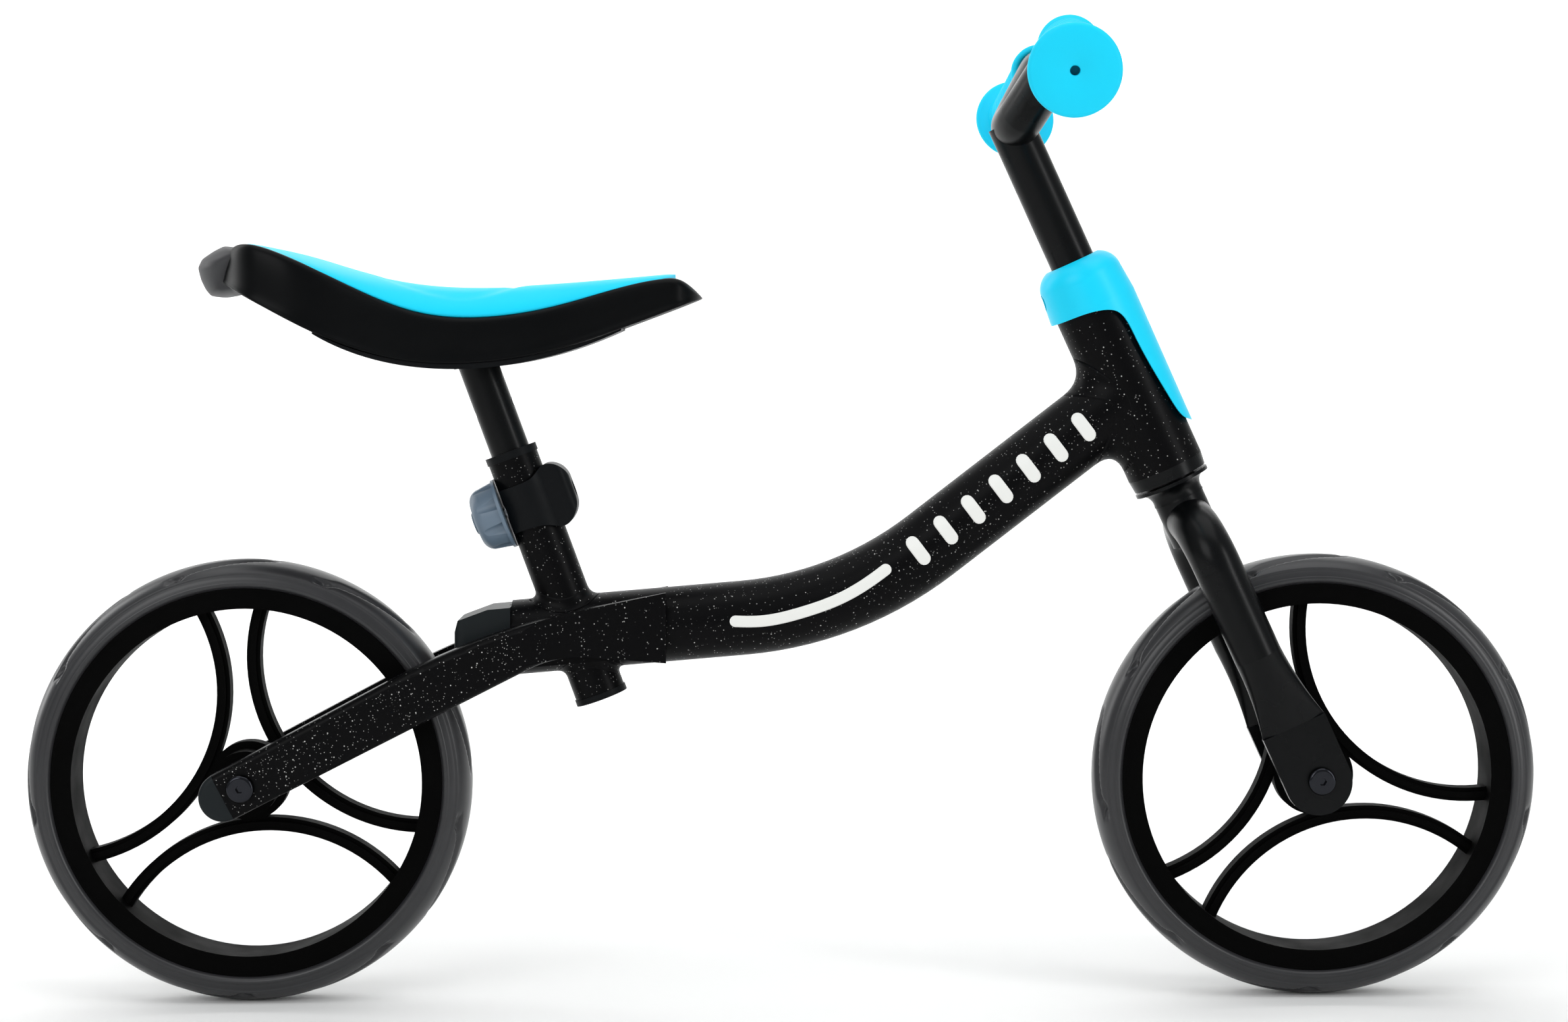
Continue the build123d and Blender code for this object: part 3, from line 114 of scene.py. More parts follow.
def linear(hex_colour):
    """sRGB hex, such as 19DEFF, to linear RGBA."""
    parts = [int(hex_colour[i : i + 2], 16) / 255 for i in (0, 2, 4)]
    return [c / 12.92 if c <= 0.04045 else ((c + 0.055) / 1.055) ** 2.4 for c in parts] + [1.0]


def node(tree, kind, inputs=None, **settings):
    """Adds a node to a shader or geometry tree.  An input is a value, or a socket to link from."""
    made = tree.nodes.new(kind)
    for name, value in settings.items():
        setattr(made, name, value)
    for name, value in (inputs or {}).items():
        if isinstance(value, bpy.types.NodeSocket):
            tree.links.new(value, made.inputs[name])
        else:
            made.inputs[name].default_value = value
    return made


def new_material(name, colour, roughness, metallic=0.0, **extra):
    """A Principled material, and its tree, shader and object coordinates for adding pattern to."""
    material = bpy.data.materials.new(name)
    material.use_nodes = True
    tree = material.node_tree
    shader = tree.nodes["Principled BSDF"]
    shader.inputs["Base Color"].default_value = linear(colour)
    shader.inputs["Roughness"].default_value = roughness
    shader.inputs["Metallic"].default_value = metallic
    for key, value in extra.items():
        shader.inputs[key.replace("_", " ")].default_value = value
    material.diffuse_color = linear(colour)
    place = node(tree, "ShaderNodeTexCoord").outputs["Object"]
    return material, tree, shader, place


def grain(tree, shader, place, size_mm, depth_mm, strength):
    """Fine uneven relief: noise with features of size_mm that stand depth_mm high."""
    noise = node(tree, "ShaderNodeTexNoise", {"Vector": place, "Scale": 1 / (size_mm * MM), "Detail": 3.0})
    bump = node(
        tree,
        "ShaderNodeBump",
        {"Height": noise.outputs["Fac"], "Distance": depth_mm * MM, "Strength": strength},
    )
    tree.links.new(bump.outputs["Normal"], shader.inputs["Normal"])


def vary_roughness(tree, shader, place, size_mm, low, high):
    """Handling marks: a slow change in gloss over the surface."""
    cloud = node(tree, "ShaderNodeTexNoise", {"Vector": place, "Scale": 1 / (size_mm * MM), "Detail": 4.0})
    spread = node(
        tree,
        "ShaderNodeMapRange",
        {"Value": cloud.outputs["Fac"], "From Min": 0.3, "From Max": 0.7, "To Min": low, "To Max": high},
    )
    tree.links.new(spread.outputs["Result"], shader.inputs["Roughness"])


# %% [markdown]
# ## Powder coat with white flecks
# The frame is powder coated: black resin with white specks baked into it. A Voronoi texture puts
# one random point in each cell of a grid, so a small radius round each point gives specks, and
# each cell's own random number decides whether it has one and how bright it is. Two grids, one
# coarse and one fine, look like scattered specks and not like a grid. The resin itself flows out
# with a faint orange peel.

# %% Frame paint
FLECK_CELL_MM = 3.0
FINE_FLECK_CELL_MM = 1.7


def fleck_layer(tree, place, cell_mm, radius, share):
    """Mask of round specks: 1 inside a speck, and its brightness differs from cell to cell."""
    cells = node(tree, "ShaderNodeTexVoronoi", {"Vector": place, "Scale": 1 / (cell_mm * MM)})
    inside = node(
        tree,
        "ShaderNodeMapRange",
        {"Value": cells.outputs["Distance"], "From Min": radius, "From Max": radius * 0.55, "To Max": 1.0},
    )
    chosen = node(
        tree,
        "ShaderNodeMapRange",
        {"Value": cells.outputs["Color"], "From Min": 1 - share, "From Max": 1.0},
    )
    return node(
        tree,
        "ShaderNodeMath",
        {0: inside.outputs["Result"], 1: chosen.outputs["Result"]},
        operation="MULTIPLY",
        use_clamp=True,
    )


# powder coat baked on steel: near black, a soft gloss, white specks that catch the light
fleck_coat, tree, shader, place = new_material(
    "powder_coat_black_white_fleck", "050506", 0.36, Specular_IOR_Level=0.07
)
coarse = fleck_layer(tree, place, FLECK_CELL_MM, 0.15, 0.6)
fine = fleck_layer(tree, place, FINE_FLECK_CELL_MM, 0.18, 0.5)
both = node(
    tree,
    "ShaderNodeMath",
    {0: coarse.outputs[0], 1: fine.outputs[0]},
    operation="MAXIMUM",
    use_clamp=True,
)
coat_mix = node(tree, "ShaderNodeMix", {"Factor": both.outputs[0]}, data_type="RGBA")
coat_mix.inputs["A"].default_value = linear("050506")
coat_mix.inputs["B"].default_value = linear("D9D9D6")
tree.links.new(coat_mix.outputs["Result"], shader.inputs["Base Color"])
grain(tree, shader, place, 1.6, 0.03, 0.5)

# %% [markdown]
# ## The other finishes
# Satin black paint covers the fork, stem, bar and seat post. The black and grey mouldings are
# textured by the surface of their steel mould, with a fine spark-eroded grain. The cyan pieces
# are a soft rubber on the grips and a satin plastic elsewhere, with a little light passing
# through the colour. Grain that would be finer than the render can show is drawn a little
# coarser.

# %% Paint, plastic, rubber and metal
# satin paint on smooth tube: a long soft streak along each tube
satin_black, tree, shader, place = new_material(
    "satin_black_paint", "050607", 0.26, Specular_IOR_Level=0.14
)
grain(tree, shader, place, 2.2, 0.02, 0.4)
vary_roughness(tree, shader, place, 30, 0.24, 0.33)

# polypropylene from a textured mould: dull black, no clear reflections
moulded_black, tree, shader, place = new_material(
    "black_moulded_polypropylene", "0A0C0E", 0.42, Specular_IOR_Level=0.1
)
grain(tree, shader, place, 0.7, 0.03, 0.5)
vary_roughness(tree, shader, place, 22, 0.4, 0.52)

# ABS shell: black, with a faint satin glow where it curves up to the light
seat_black, tree, shader, place = new_material(
    "black_satin_abs_shell", "050607", 0.34, Specular_IOR_Level=0.08
)
grain(tree, shader, place, 0.9, 0.02, 0.35)
vary_roughness(tree, shader, place, 40, 0.32, 0.42)

# nylon end plugs: a shade lighter than the paint, and matt
plug_grey, tree, shader, place = new_material(
    "charcoal_moulded_nylon", "161B1D", 0.42, Specular_IOR_Level=0.14
)
grain(tree, shader, place, 0.6, 0.03, 0.5)

# glass filled nylon: the deepest black here, because its rough skin scatters what little it reflects
rim_black, tree, shader, place = new_material(
    "black_glass_filled_nylon", "030303", 0.55, Specular_IOR_Level=0.03
)
grain(tree, shader, place, 1.2, 0.02, 0.4)
vary_roughness(tree, shader, place, 25, 0.52, 0.68)

# ABS in a mid grey, so that the lifting grip stands out from the shell
tail_grey, tree, shader, place = new_material(
    "mid_grey_moulded_abs", "3A3A3C", 0.5, Specular_IOR_Level=0.2
)
grain(tree, shader, place, 0.6, 0.03, 0.5)

# ABS in slate blue: the one muted colour, with soft highlights on each flute
knob_blue, tree, shader, place = new_material("slate_blue_moulded_abs", "5F7080", 0.4)
grain(tree, shader, place, 0.6, 0.02, 0.4)
vary_roughness(tree, shader, place, 12, 0.34, 0.46)

CYAN = "0CD2F5"
# thermoplastic rubber: bright, matt, and a little light passes through its edges
grip_cyan, tree, shader, place = new_material(
    "cyan_thermoplastic_rubber", CYAN, 0.55, Specular_IOR_Level=0.22,
    Subsurface_Weight=0.08, Subsurface_Scale=0.004,
)
grain(tree, shader, place, 0.5, 0.03, 0.6)

# satin polypropylene: the same cyan, smoother and a little glossier
cover_cyan, tree, shader, place = new_material(
    "cyan_satin_polypropylene", CYAN, 0.38, Specular_IOR_Level=0.25,
    Subsurface_Weight=0.06, Subsurface_Scale=0.004,
)
grain(tree, shader, place, 0.8, 0.015, 0.4)

# foam with its own skin: the same cyan, softest in its shading
pad_cyan, tree, shader, place = new_material(
    "cyan_integral_skin_foam", CYAN, 0.5, Specular_IOR_Level=0.22,
    Subsurface_Weight=0.08, Subsurface_Scale=0.005,
)
grain(tree, shader, place, 0.9, 0.04, 0.6)

# zinc on steel: pale bright metal, seen only in the gaps of the hubs and the headset
zinc, tree, shader, place = new_material("zinc_plated_steel", "A9ADB1", 0.32, 1.0)
grain(tree, shader, place, 0.5, 0.005, 0.4)

# black nickel: dark metal with sharp small highlights
bolt_dark, tree, shader, place = new_material("black_nickel_plate", "2C2D31", 0.1, 1.0)
vary_roughness(tree, shader, place, 6, 0.08, 0.14)

# vinyl film: plain warm white, smoother than the coat under it
decal_white, tree, shader, place = new_material("white_vinyl_transfer", "E8E8E4", 0.35)
grain(tree, shader, place, 2.0, 0.01, 0.4)

# %% [markdown]
# ## Foam rubber of the tyres
# A solid foam tyre has a dull skin that fades from charcoal to a lighter grey where it is rubbed
# and where mould release has dried. A slow noise mixes two greys, and a fine one roughens the
# skin.

# %% Tyre foam
# foam rubber skin: charcoal, with a broad dull sheen on the shoulder of the tread
tyre_foam, tree, shader, place = new_material(
    "charcoal_eva_foam", "252527", 0.33, Specular_IOR_Level=0.45
)
cloud = node(tree, "ShaderNodeTexNoise", {"Vector": place, "Scale": 1 / (18 * MM), "Detail": 5.0})
tone = node(tree, "ShaderNodeMix", {"Factor": cloud.outputs["Fac"]}, data_type="RGBA")
tone.inputs["A"].default_value = linear("202022")
tone.inputs["B"].default_value = linear("2B2B2D")
tree.links.new(tone.outputs["Result"], shader.inputs["Base Color"])
grain(tree, shader, place, 0.6, 0.03, 0.6)

# %% Finish of each piece that comes straight from the skeleton
CAD_FINISHES = {
    fleck_coat: ["main_tube", "head_tube", "seat_tube", "stay_right", "stay_left"],
    satin_black: [
        "steerer_tube", "fork_leg_right", "fork_leg_left", "handlebar",
        "stem_tube", "stem_clamp", "seat_post",
        "seat_bracket", "lower_headset_cup", "upper_headset_cup", "crown_race",
    ],
    moulded_black: ["seat_tube_sleeve", "seat_tube_plug", "seat_clamp", "seat_post_cap", "seat_base_plate"],
    plug_grey: ["stay_plug_right", "stay_plug_left", "main_tube_plug"],
    rim_black: ["rear_rim", "front_rim"],
    knob_blue: ["clamp_knob", "knob_cap"],
    cover_cyan: ["steering_cover"],
    bolt_dark: ["rear_axle_bolts", "front_axle_bolts", "seat_clamp_screw", "stem_clamp_screw"],
    zinc: [
        "lower_headset_bearing", "upper_headset_bearing", "top_race", "rear_axle", "front_axle",
        "rear_axle_spacers", "front_axle_spacers", "rear_hub_sleeve",
        "front_hub_sleeve", "rear_wheel_bearings",
        "front_wheel_bearings", "knob_screw", "knob_insert", "seat_screws",
    ],
    seat_black: ["seat_shell"],
    tail_grey: ["seat_tail_grip"],
    pad_cyan: ["seat_pad"],
    grip_cyan: ["grip_right", "grip_left"],
    tyre_foam: ["rear_tyre", "front_tyre"],
}
for finish, names in CAD_FINISHES.items():
    for name in names:
        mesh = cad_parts[name].data
        mesh.materials.clear()
        mesh.materials.append(finish)
print("finishes:", len(CAD_FINISHES))

# %% [markdown]
# ## Skins from rings of points
# Most moulded pieces here are skins: a row of closed rings, joined to the next ring all the way
# along. One helper does that. It works out which way the faces point from the signed volume, so
# that every piece is closed and faces outwards.

# %% Skin helper


def skin(name, rings, finish, caps=True, loop=False):
    """A closed mesh through rings of points in mm.  loop joins the last ring to the first."""
    rings = np.asarray(rings, float) * MM
    count, around = rings.shape[:2]
    verts = rings.reshape(-1, 3).tolist()
    faces = []
    for i in range(count if loop else count - 1):
        j = (i + 1) % count
        for k in range(around):
            m = (k + 1) % around
            faces.append((i * around + k, i * around + m, j * around + m, j * around + k))
    if caps and not loop:
        faces.append(tuple(range(around))[::-1])
        faces.append(tuple(range((count - 1) * around, count * around)))
    mesh = bpy.data.meshes.new(name)
    mesh.from_pydata(verts, [], faces)
    mesh.materials.append(finish)
    shape = bmesh.new()
    shape.from_mesh(mesh)
    bmesh.ops.remove_doubles(shape, verts=shape.verts, dist=1e-6)
    bmesh.ops.recalc_face_normals(shape, faces=shape.faces)
    if shape.calc_volume(signed=True) < 0:
        bmesh.ops.reverse_faces(shape, faces=shape.faces)
    shape.to_mesh(mesh)
    shape.free()
    mesh.shade_smooth()
    piece = bpy.data.objects.new(name, mesh)
    scene.collection.objects.link(piece)
    return piece


def round_off(piece):
    """Subdivides a piece once, in the view and in the render."""
    rounding = piece.modifiers.new("rounding", "SUBSURF")
    rounding.levels = rounding.render_levels = 1
    return piece


def through(points, xs):
    """Values at xs on a smooth curve through X, Z points (natural cubic spline)."""
    px, pz = np.array(points, float).T
    n, h = len(px), np.diff(px)
    a = np.eye(n)
    b = np.zeros(n)
    for i in range(1, n - 1):
        a[i, i - 1 : i + 2] = h[i - 1], 2 * (h[i - 1] + h[i]), h[i]
        b[i] = 3 * ((pz[i + 1] - pz[i]) / h[i] - (pz[i] - pz[i - 1]) / h[i - 1])
    c = np.linalg.solve(a, b)
    i = np.clip(np.searchsorted(px, xs) - 1, 0, n - 2)
    t = xs - px[i]
    slope = (pz[i + 1] - pz[i]) / h[i] - h[i] * (2 * c[i] + c[i + 1]) / 3
    return pz[i] + slope * t + c[i] * t**2 + (c[i + 1] - c[i]) / (3 * h[i]) * t**3


# %% [markdown]
# ## Tyres: one pitch, repeated
# A tyre mould is cut one pitch at a time, and the pitch is copied round the wheel. Here one pitch
# is made as a mesh: a strip of the tyre's section with a long hooked step that runs off the crown
# on to the shoulder, and a fine raised line round the sidewall. A Geometry Nodes tree then copies
# the pitch round the axle. Its inputs are the number of pitches and the axle's place, so both
# tyres share one tree.

# %% One pitch of tread
PITCHES = 9
SECTION_POINTS = 88
PITCH_STEPS = 56
BEAD_RADIUS, CROWN_START, CROWN_HEIGHT, TYRE_HALF = 109.5, 113.0, 12.0, 18.5
BEAD_HALF, WALL_HALF, WALL_RADIUS = 15.9, 17.4, 111.0
SEAT_HALF, SEAT_RADIUS = 12.5, 104.6
HOOK_DEPTH, TAIL_DEPTH, RING_DEPTH = 2.1, 1.5, 0.9


def tyre_section():
    """Half widths and radii round the outside of the tyre, from one bead to the other."""
    angle = np.linspace(-math.pi / 2, math.pi / 2, SECTION_POINTS - 4)
    side = TYRE_HALF * np.sin(angle)
    radius = CROWN_START + CROWN_HEIGHT * np.cos(angle)
    wall = [(-BEAD_HALF, BEAD_RADIUS), (-WALL_HALF, WALL_RADIUS)]
    other_wall = [(WALL_HALF, WALL_RADIUS), (BEAD_HALF, BEAD_RADIUS)]
    return np.array(wall + list(zip(side, radius)) + other_wall)


def smooth_step(value, low, high):
    """0 below low and 1 above high, with a soft S between."""
    t = np.clip((value - low) / (high - low), 0, 1)
    return t * t * (3 - 2 * t)


def tread_depth(turn, side, radius):
    """How far the mould presses in, in mm, at a share of one pitch and a place on the section.

    walk is 0 at the crown and 1 where the shoulder meets the sidewall."""
    around = np.arctan2(np.abs(side) / TYRE_HALF, (radius - CROWN_START) / CROWN_HEIGHT)
    walk = np.abs(around) / (math.pi / 2)
    lead = np.clip((turn - 0.06) / 0.64, 0, 1)
    edge = 0.2 + 0.36 * lead**0.8 + 0.1 * smooth_step(lead, 0.86, 1.0)
    live = smooth_step(turn, 0.03, 0.08) * (1 - smooth_step(turn, 0.7, 0.73))
    cut = smooth_step(edge - walk, 0.0, 0.03) * (1 - smooth_step(edge - walk, 0.04, 0.26))
    tail = smooth_step(turn, 0.66, 0.7) * (1 - smooth_step(turn, 0.74, 0.8)) * smooth_step(walk, 0.46, 0.5)
    tail *= 1 - smooth_step(walk, 0.64, 0.68)
    ring = RING_DEPTH * smooth_step(walk, 0.73, 0.748) * (1 - smooth_step(walk, 0.985, 1.0))
    return HOOK_DEPTH * live * cut + TAIL_DEPTH * tail + ring


section = tyre_section()
rim_side = [(SEAT_HALF, BEAD_RADIUS), (SEAT_HALF, SEAT_RADIUS)]
rim_side += [(-SEAT_HALF, SEAT_RADIUS), (-SEAT_HALF, BEAD_RADIUS)]
pitch_turn = 2 * math.pi / PITCHES
pitch_rings = []
for i in range(PITCH_STEPS + 1):
    share = i / PITCH_STEPS
    depth = tread_depth(np.full(len(section), share), section[:, 0], section[:, 1])
    inward = np.column_stack([section[:, 0] / TYRE_HALF, (section[:, 1] - CROWN_START) / CROWN_HEIGHT])
    inward /= np.maximum(np.hypot(*inward.T), 1e-6)[:, None]
    outline = np.vstack([section - inward * depth[:, None], rim_side])
    a = share * pitch_turn
    pitch_rings.append([(r * math.cos(a), y, r * math.sin(a)) for y, r in outline])
tread_pitch = skin("tread_pitch", pitch_rings, tyre_foam, caps=False)
print("one pitch:", len(tread_pitch.data.polygons), "faces")

# %% Tree that copies a pitch round an axle


def add_input(tree, name, kind, value=None):
    socket = tree.interface.new_socket(name, in_out="INPUT", socket_type=kind)
    if value is not None:
        socket.default_value = value
    return socket.identifier


def new_tree(name):
    """An empty Geometry Nodes tree with its input and output nodes."""
    tree = bpy.data.node_groups.new(name, "GeometryNodeTree")
    tree.interface.new_socket("Geometry", in_out="INPUT", socket_type="NodeSocketGeometry")
    tree.interface.new_socket("Geometry", in_out="OUTPUT", socket_type="NodeSocketGeometry")
    return tree, node(tree, "NodeGroupInput"), node(tree, "NodeGroupOutput")


WELD_DISTANCE = 0.00002
pitch_tree, given, result = new_tree("copies_round_an_axle")
PITCH_INPUTS = {
    "Copies": add_input(pitch_tree, "Copies", "NodeSocketInt", 9),
    "Axle": add_input(pitch_tree, "Axle", "NodeSocketVector"),
    "Finish": add_input(pitch_tree, "Finish", "NodeSocketMaterial"),
}
spots = node(pitch_tree, "GeometryNodePoints", {"Count": given.outputs["Copies"]})
spot_number = node(pitch_tree, "GeometryNodeInputIndex")
turn_each = node(
    pitch_tree, "ShaderNodeMath", {0: -2 * math.pi, 1: given.outputs["Copies"]}, operation="DIVIDE"
)
turn_here = node(
    pitch_tree,
    "ShaderNodeMath",
    {0: spot_number.outputs[0], 1: turn_each.outputs[0]},
    operation="MULTIPLY",
)
turn_euler = node(pitch_tree, "ShaderNodeCombineXYZ", {"Y": turn_here.outputs[0]})
copies = node(
    pitch_tree,
    "GeometryNodeInstanceOnPoints",
    {
        "Points": spots.outputs[0],
        "Instance": given.outputs["Geometry"],
        "Rotation": turn_euler.outputs[0],
    },
)
real = node(pitch_tree, "GeometryNodeRealizeInstances", {"Geometry": copies.outputs[0]})
welded = node(
    pitch_tree, "GeometryNodeMergeByDistance", {"Geometry": real.outputs[0], "Distance": WELD_DISTANCE}
)
moved = node(
    pitch_tree,
    "GeometryNodeTransform",
    {"Geometry": welded.outputs[0], "Translation": given.outputs["Axle"]},
)
coloured = node(
    pitch_tree,
    "GeometryNodeSetMaterial",
    {"Geometry": moved.outputs[0], "Material": given.outputs["Finish"]},
)
pitch_tree.links.new(coloured.outputs[0], result.inputs[0])


def grown(name, source, tree, inputs, finish):
    """Runs a Geometry Nodes tree on a source object and keeps what it makes as a plain mesh piece."""
    growth = source.modifiers.new("growth", "NODES")
    growth.node_group = tree
    for identifier, value in inputs.items():
        growth[identifier] = value
    ready = source.evaluated_get(bpy.context.evaluated_depsgraph_get())
    mesh = bpy.data.meshes.new_from_object(ready)
    mesh.name = name
    source.modifiers.remove(growth)
    mesh.materials.clear()
    mesh.materials.append(finish)
    mesh.polygons.foreach_set("material_index", [0] * len(mesh.polygons))
    mesh.shade_smooth()
    piece = bpy.data.objects.new(name, mesh)
    scene.collection.objects.link(piece)
    return piece


for name, axle in (("rear", REAR_AXLE), ("front", FRONT_AXLE)):
    values = {
        PITCH_INPUTS["Copies"]: PITCHES,
        PITCH_INPUTS["Axle"]: tuple(axle * MM),
        PITCH_INPUTS["Finish"]: tyre_foam,
    }
    tyre = grown(f"{name}_tyre_tread", tread_pitch, pitch_tree, values, tyre_foam)
    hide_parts(f"{name}_tyre")
    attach(tyre, f"{name}_wheel")
    print(tyre.name, len(tyre.data.polygons), "faces")
bpy.data.objects.remove(tread_pitch)

# %% [markdown]
# ## Ribbed grips
# A moulded grip is a tube with round ribs for the fingers, a thin collar at the inner end and a
# big round flange at the outer end that keeps the hand on. Its shape follows one rule along its
# length, so it is a section swept round an axis. The tree draws a line, sets a radius at each
# point from the rule and sweeps a circle along it.

# %% Tree that sweeps a ribbed sleeve
grip_tree, given, result = new_tree("ribbed_sleeve")
GRIP_INPUTS = {
    "Length": add_input(grip_tree, "Length", "NodeSocketFloat", 0.1),
    "Radius": add_input(grip_tree, "Radius", "NodeSocketFloat", 0.0152),
    "Rib pitch": add_input(grip_tree, "Rib pitch", "NodeSocketFloat", 0.0046),
    "Rib height": add_input(grip_tree, "Rib height", "NodeSocketFloat", 0.0009),
    "Finish": add_input(grip_tree, "Finish", "NodeSocketMaterial"),
}
end_point = node(grip_tree, "ShaderNodeCombineXYZ", {"Z": given.outputs["Length"]})
axis_line = node(grip_tree, "GeometryNodeCurvePrimitiveLine", {"End": end_point.outputs[0]})
fine_line = node(grip_tree, "GeometryNodeResampleCurve", {"Curve": axis_line.outputs[0], "Count": 260})
along = node(grip_tree, "GeometryNodeSplineParameter").outputs["Length"]
rib_phase = node(grip_tree, "ShaderNodeMath", {0: along, 1: given.outputs["Rib pitch"]}, operation="DIVIDE")
rib_turn = node(grip_tree, "ShaderNodeMath", {0: rib_phase.outputs[0], 1: 2 * math.pi}, operation="MULTIPLY")
rib_wave = node(grip_tree, "ShaderNodeMath", {0: rib_turn.outputs[0]}, operation="COSINE")
rib_shape = node(
    grip_tree, "ShaderNodeMapRange", {"Value": rib_wave.outputs[0], "From Min": -0.5, "From Max": 0.6}
)
rib_rise = node(
    grip_tree,
    "ShaderNodeMath",
    {0: rib_shape.outputs["Result"], 1: given.outputs["Rib height"]},
    operation="MULTIPLY",
)
grip_radius = node(grip_tree, "ShaderNodeMath", {0: rib_rise.outputs[0], 1: given.outputs["Radius"]})
hoop = node(grip_tree, "GeometryNodeCurvePrimitiveCircle", {"Resolution": 64, "Radius": 1.0})
# the sweep scales its one-metre circle at each point of the line
swept = node(
    grip_tree,
    "GeometryNodeCurveToMesh",
    {
        "Curve": fine_line.outputs[0],
        "Profile Curve": hoop.outputs[0],
        "Scale": grip_radius.outputs[0],
        "Fill Caps": True,
    },
)
sleeve_real = node(grip_tree, "GeometryNodeRealizeInstances", {"Geometry": swept.outputs[0]})
sleeve_done = node(
    grip_tree,
    "GeometryNodeSetMaterial",
    {"Geometry": sleeve_real.outputs[0], "Material": given.outputs["Finish"]},
)
grip_tree.links.new(sleeve_done.outputs[0], result.inputs[0])

# %% Make both grips
BAR_CORNER = HEAD_FOOT + HEAD_AHEAD * -5.1 + HEAD_UP * 395.4
GRIP_TIP = BAR_CORNER + Vector((19.5, -173.5, 23.5))
GRIP_ROOT = BAR_CORNER + Vector((27.0, -70.0, 46.0))
GRIP_LENGTH = 100.0
GRIP_TIP_WALL = 3.0
SLEEVE_START = 5.0
SLEEVE_LENGTH, SLEEVE_RADIUS, RIB_PITCH, RIB_HEIGHT = 86.0, 15.0, 4.3, 1.0
LATHE_STEPS = 72


def turned(profile):
    """Sections of a round piece turned on a lathe: profile is distance along the axis and radius."""
    angles = [2 * math.pi * s / LATHE_STEPS for s in range(LATHE_STEPS)]
    return [[(r * math.cos(a), r * math.sin(a), z) for z, r in profile] for a in angles]


def placed(piece, origin, way):
    """Moves a piece made along +Z to stand at origin (mm) and point along way, in its mesh."""
    turn = Vector((0, 0, 1)).rotation_difference(way).to_matrix().to_4x4()
    piece.data.transform(Matrix.Translation(origin * MM) @ turn)


FLANGE_PROFILE = [
    (99.6, 2.6), (100.0, 3.2), (100.0, 21.8), (99.5, 23.2), (98.3, 23.95), (96.6, 23.95), (95.4, 23.2),
    (94.9, 21.5), (94.4, 17.4), (93.2, 16.4), (90.0, 16.1), (90.0, 13.2), (96.8, 13.2), (96.8, 2.6),
]
COLLAR_PROFILE = [
    (0.0, 13.2), (0.0, 16.3), (0.6, 17.0), (3.0, 17.2),
    (4.4, 16.9), (5.2, 16.1), (7.0, 15.9), (7.0, 13.2),
]
seed_mesh = bpy.data.meshes.new("seed")
seed = bpy.data.objects.new("seed", seed_mesh)
scene.collection.objects.link(seed)
for side, label in ((1, "right"), (-1, "left")):
    mirror_side = Vector((1, side, 1))
    tip = GRIP_TIP * mirror_side
    root = GRIP_ROOT * mirror_side
    way = (tip - root).normalized()
    outer_face = tip + way * GRIP_TIP_WALL
    start = outer_face - way * GRIP_LENGTH
    values = {
        GRIP_INPUTS["Length"]: SLEEVE_LENGTH * MM,
        GRIP_INPUTS["Radius"]: SLEEVE_RADIUS * MM,
        GRIP_INPUTS["Rib pitch"]: RIB_PITCH * MM,
        GRIP_INPUTS["Rib height"]: RIB_HEIGHT * MM,
        GRIP_INPUTS["Finish"]: grip_cyan,
    }
    sleeve = grown(f"grip_sleeve_{label}", seed, grip_tree, values, grip_cyan)
    placed(sleeve, start + way * SLEEVE_START, way)
    flange = skin(f"grip_flange_{label}", turned(FLANGE_PROFILE), grip_cyan, loop=True)
    placed(flange, start, way)
    collar = skin(f"grip_collar_{label}", turned(COLLAR_PROFILE), grip_cyan, loop=True)
    placed(collar, start, way)
    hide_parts(f"grip_{label}")
    for piece in (sleeve, flange, collar):
        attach(piece, "fork")
print("grips:", GRIP_LENGTH, "mm long")

# %% [markdown]
# ## The seat shell
# The shell is a moulded pan, wide under the hips and narrow between the knees. Seen from the side
# it is a dark band that dips in the middle. Its plan and its side curves are given by a few
# points, and the skin takes a section at each of many places along it: a thin lip at the bottom
# edge, a slightly bowed side, and a soft rounded rim.

# %% Curves of the seat, from the seat centre, in mm
SEAT_BACK, SEAT_NOSE = -141.5, 125.4
SHELL_LOW = [
    (-141.5, 49.4), (-110, 33.2), (-84, 19.7), (-40, 4.5), (-10.7, 2.0), (44, 9.1),
    (81, 20.9), (125.4, 37.4),
]
SHELL_RIM = [
    (-141.5, 50.0), (-135, 60.5), (-129, 65.6), (-120, 67.2), (-104.7, 63.4), (-73, 48.9),
    (-32.3, 31), (3.2, 27.3), (47.8, 34.3), (104.9, 48.4), (113, 47.9), (120, 43.4),
    (125.4, 38.0),
]
PAD_TOP = [
    (-122, 68.4), (-96.5, 62.7), (-67.8, 54.2), (-25.5, 45.9), (0, 44.6), (28.4, 45.3),
    (67, 47.9), (106, 51.2),
]
HALF_WIDTH = [
    (-141.5, 56), (-121.5, 62), (-95.5, 68), (-63.5, 60), (-11.5, 44), (38.5, 33),
    (80.4, 29), (125.4, 27),
]


def half_width(xs, inset=0.0):
    """Half of the seat's width, rounded off at the tail and nose."""
    wide = through(HALF_WIDTH, xs) - inset
    tail = np.clip((xs - SEAT_BACK - inset) / 27, 0, 1)
    nose = np.clip((SEAT_NOSE - inset - xs) / 17, 0, 1)
    return wide * np.sqrt(1 - (1 - tail) ** 2) * np.sqrt(1 - (1 - nose) ** 2)


def seat_stations(back, nose, count):
    """Places along the seat, closer together at its ends."""
    return (back + nose) / 2 - (nose - back) / 2 * np.cos(np.linspace(0, math.pi, count))


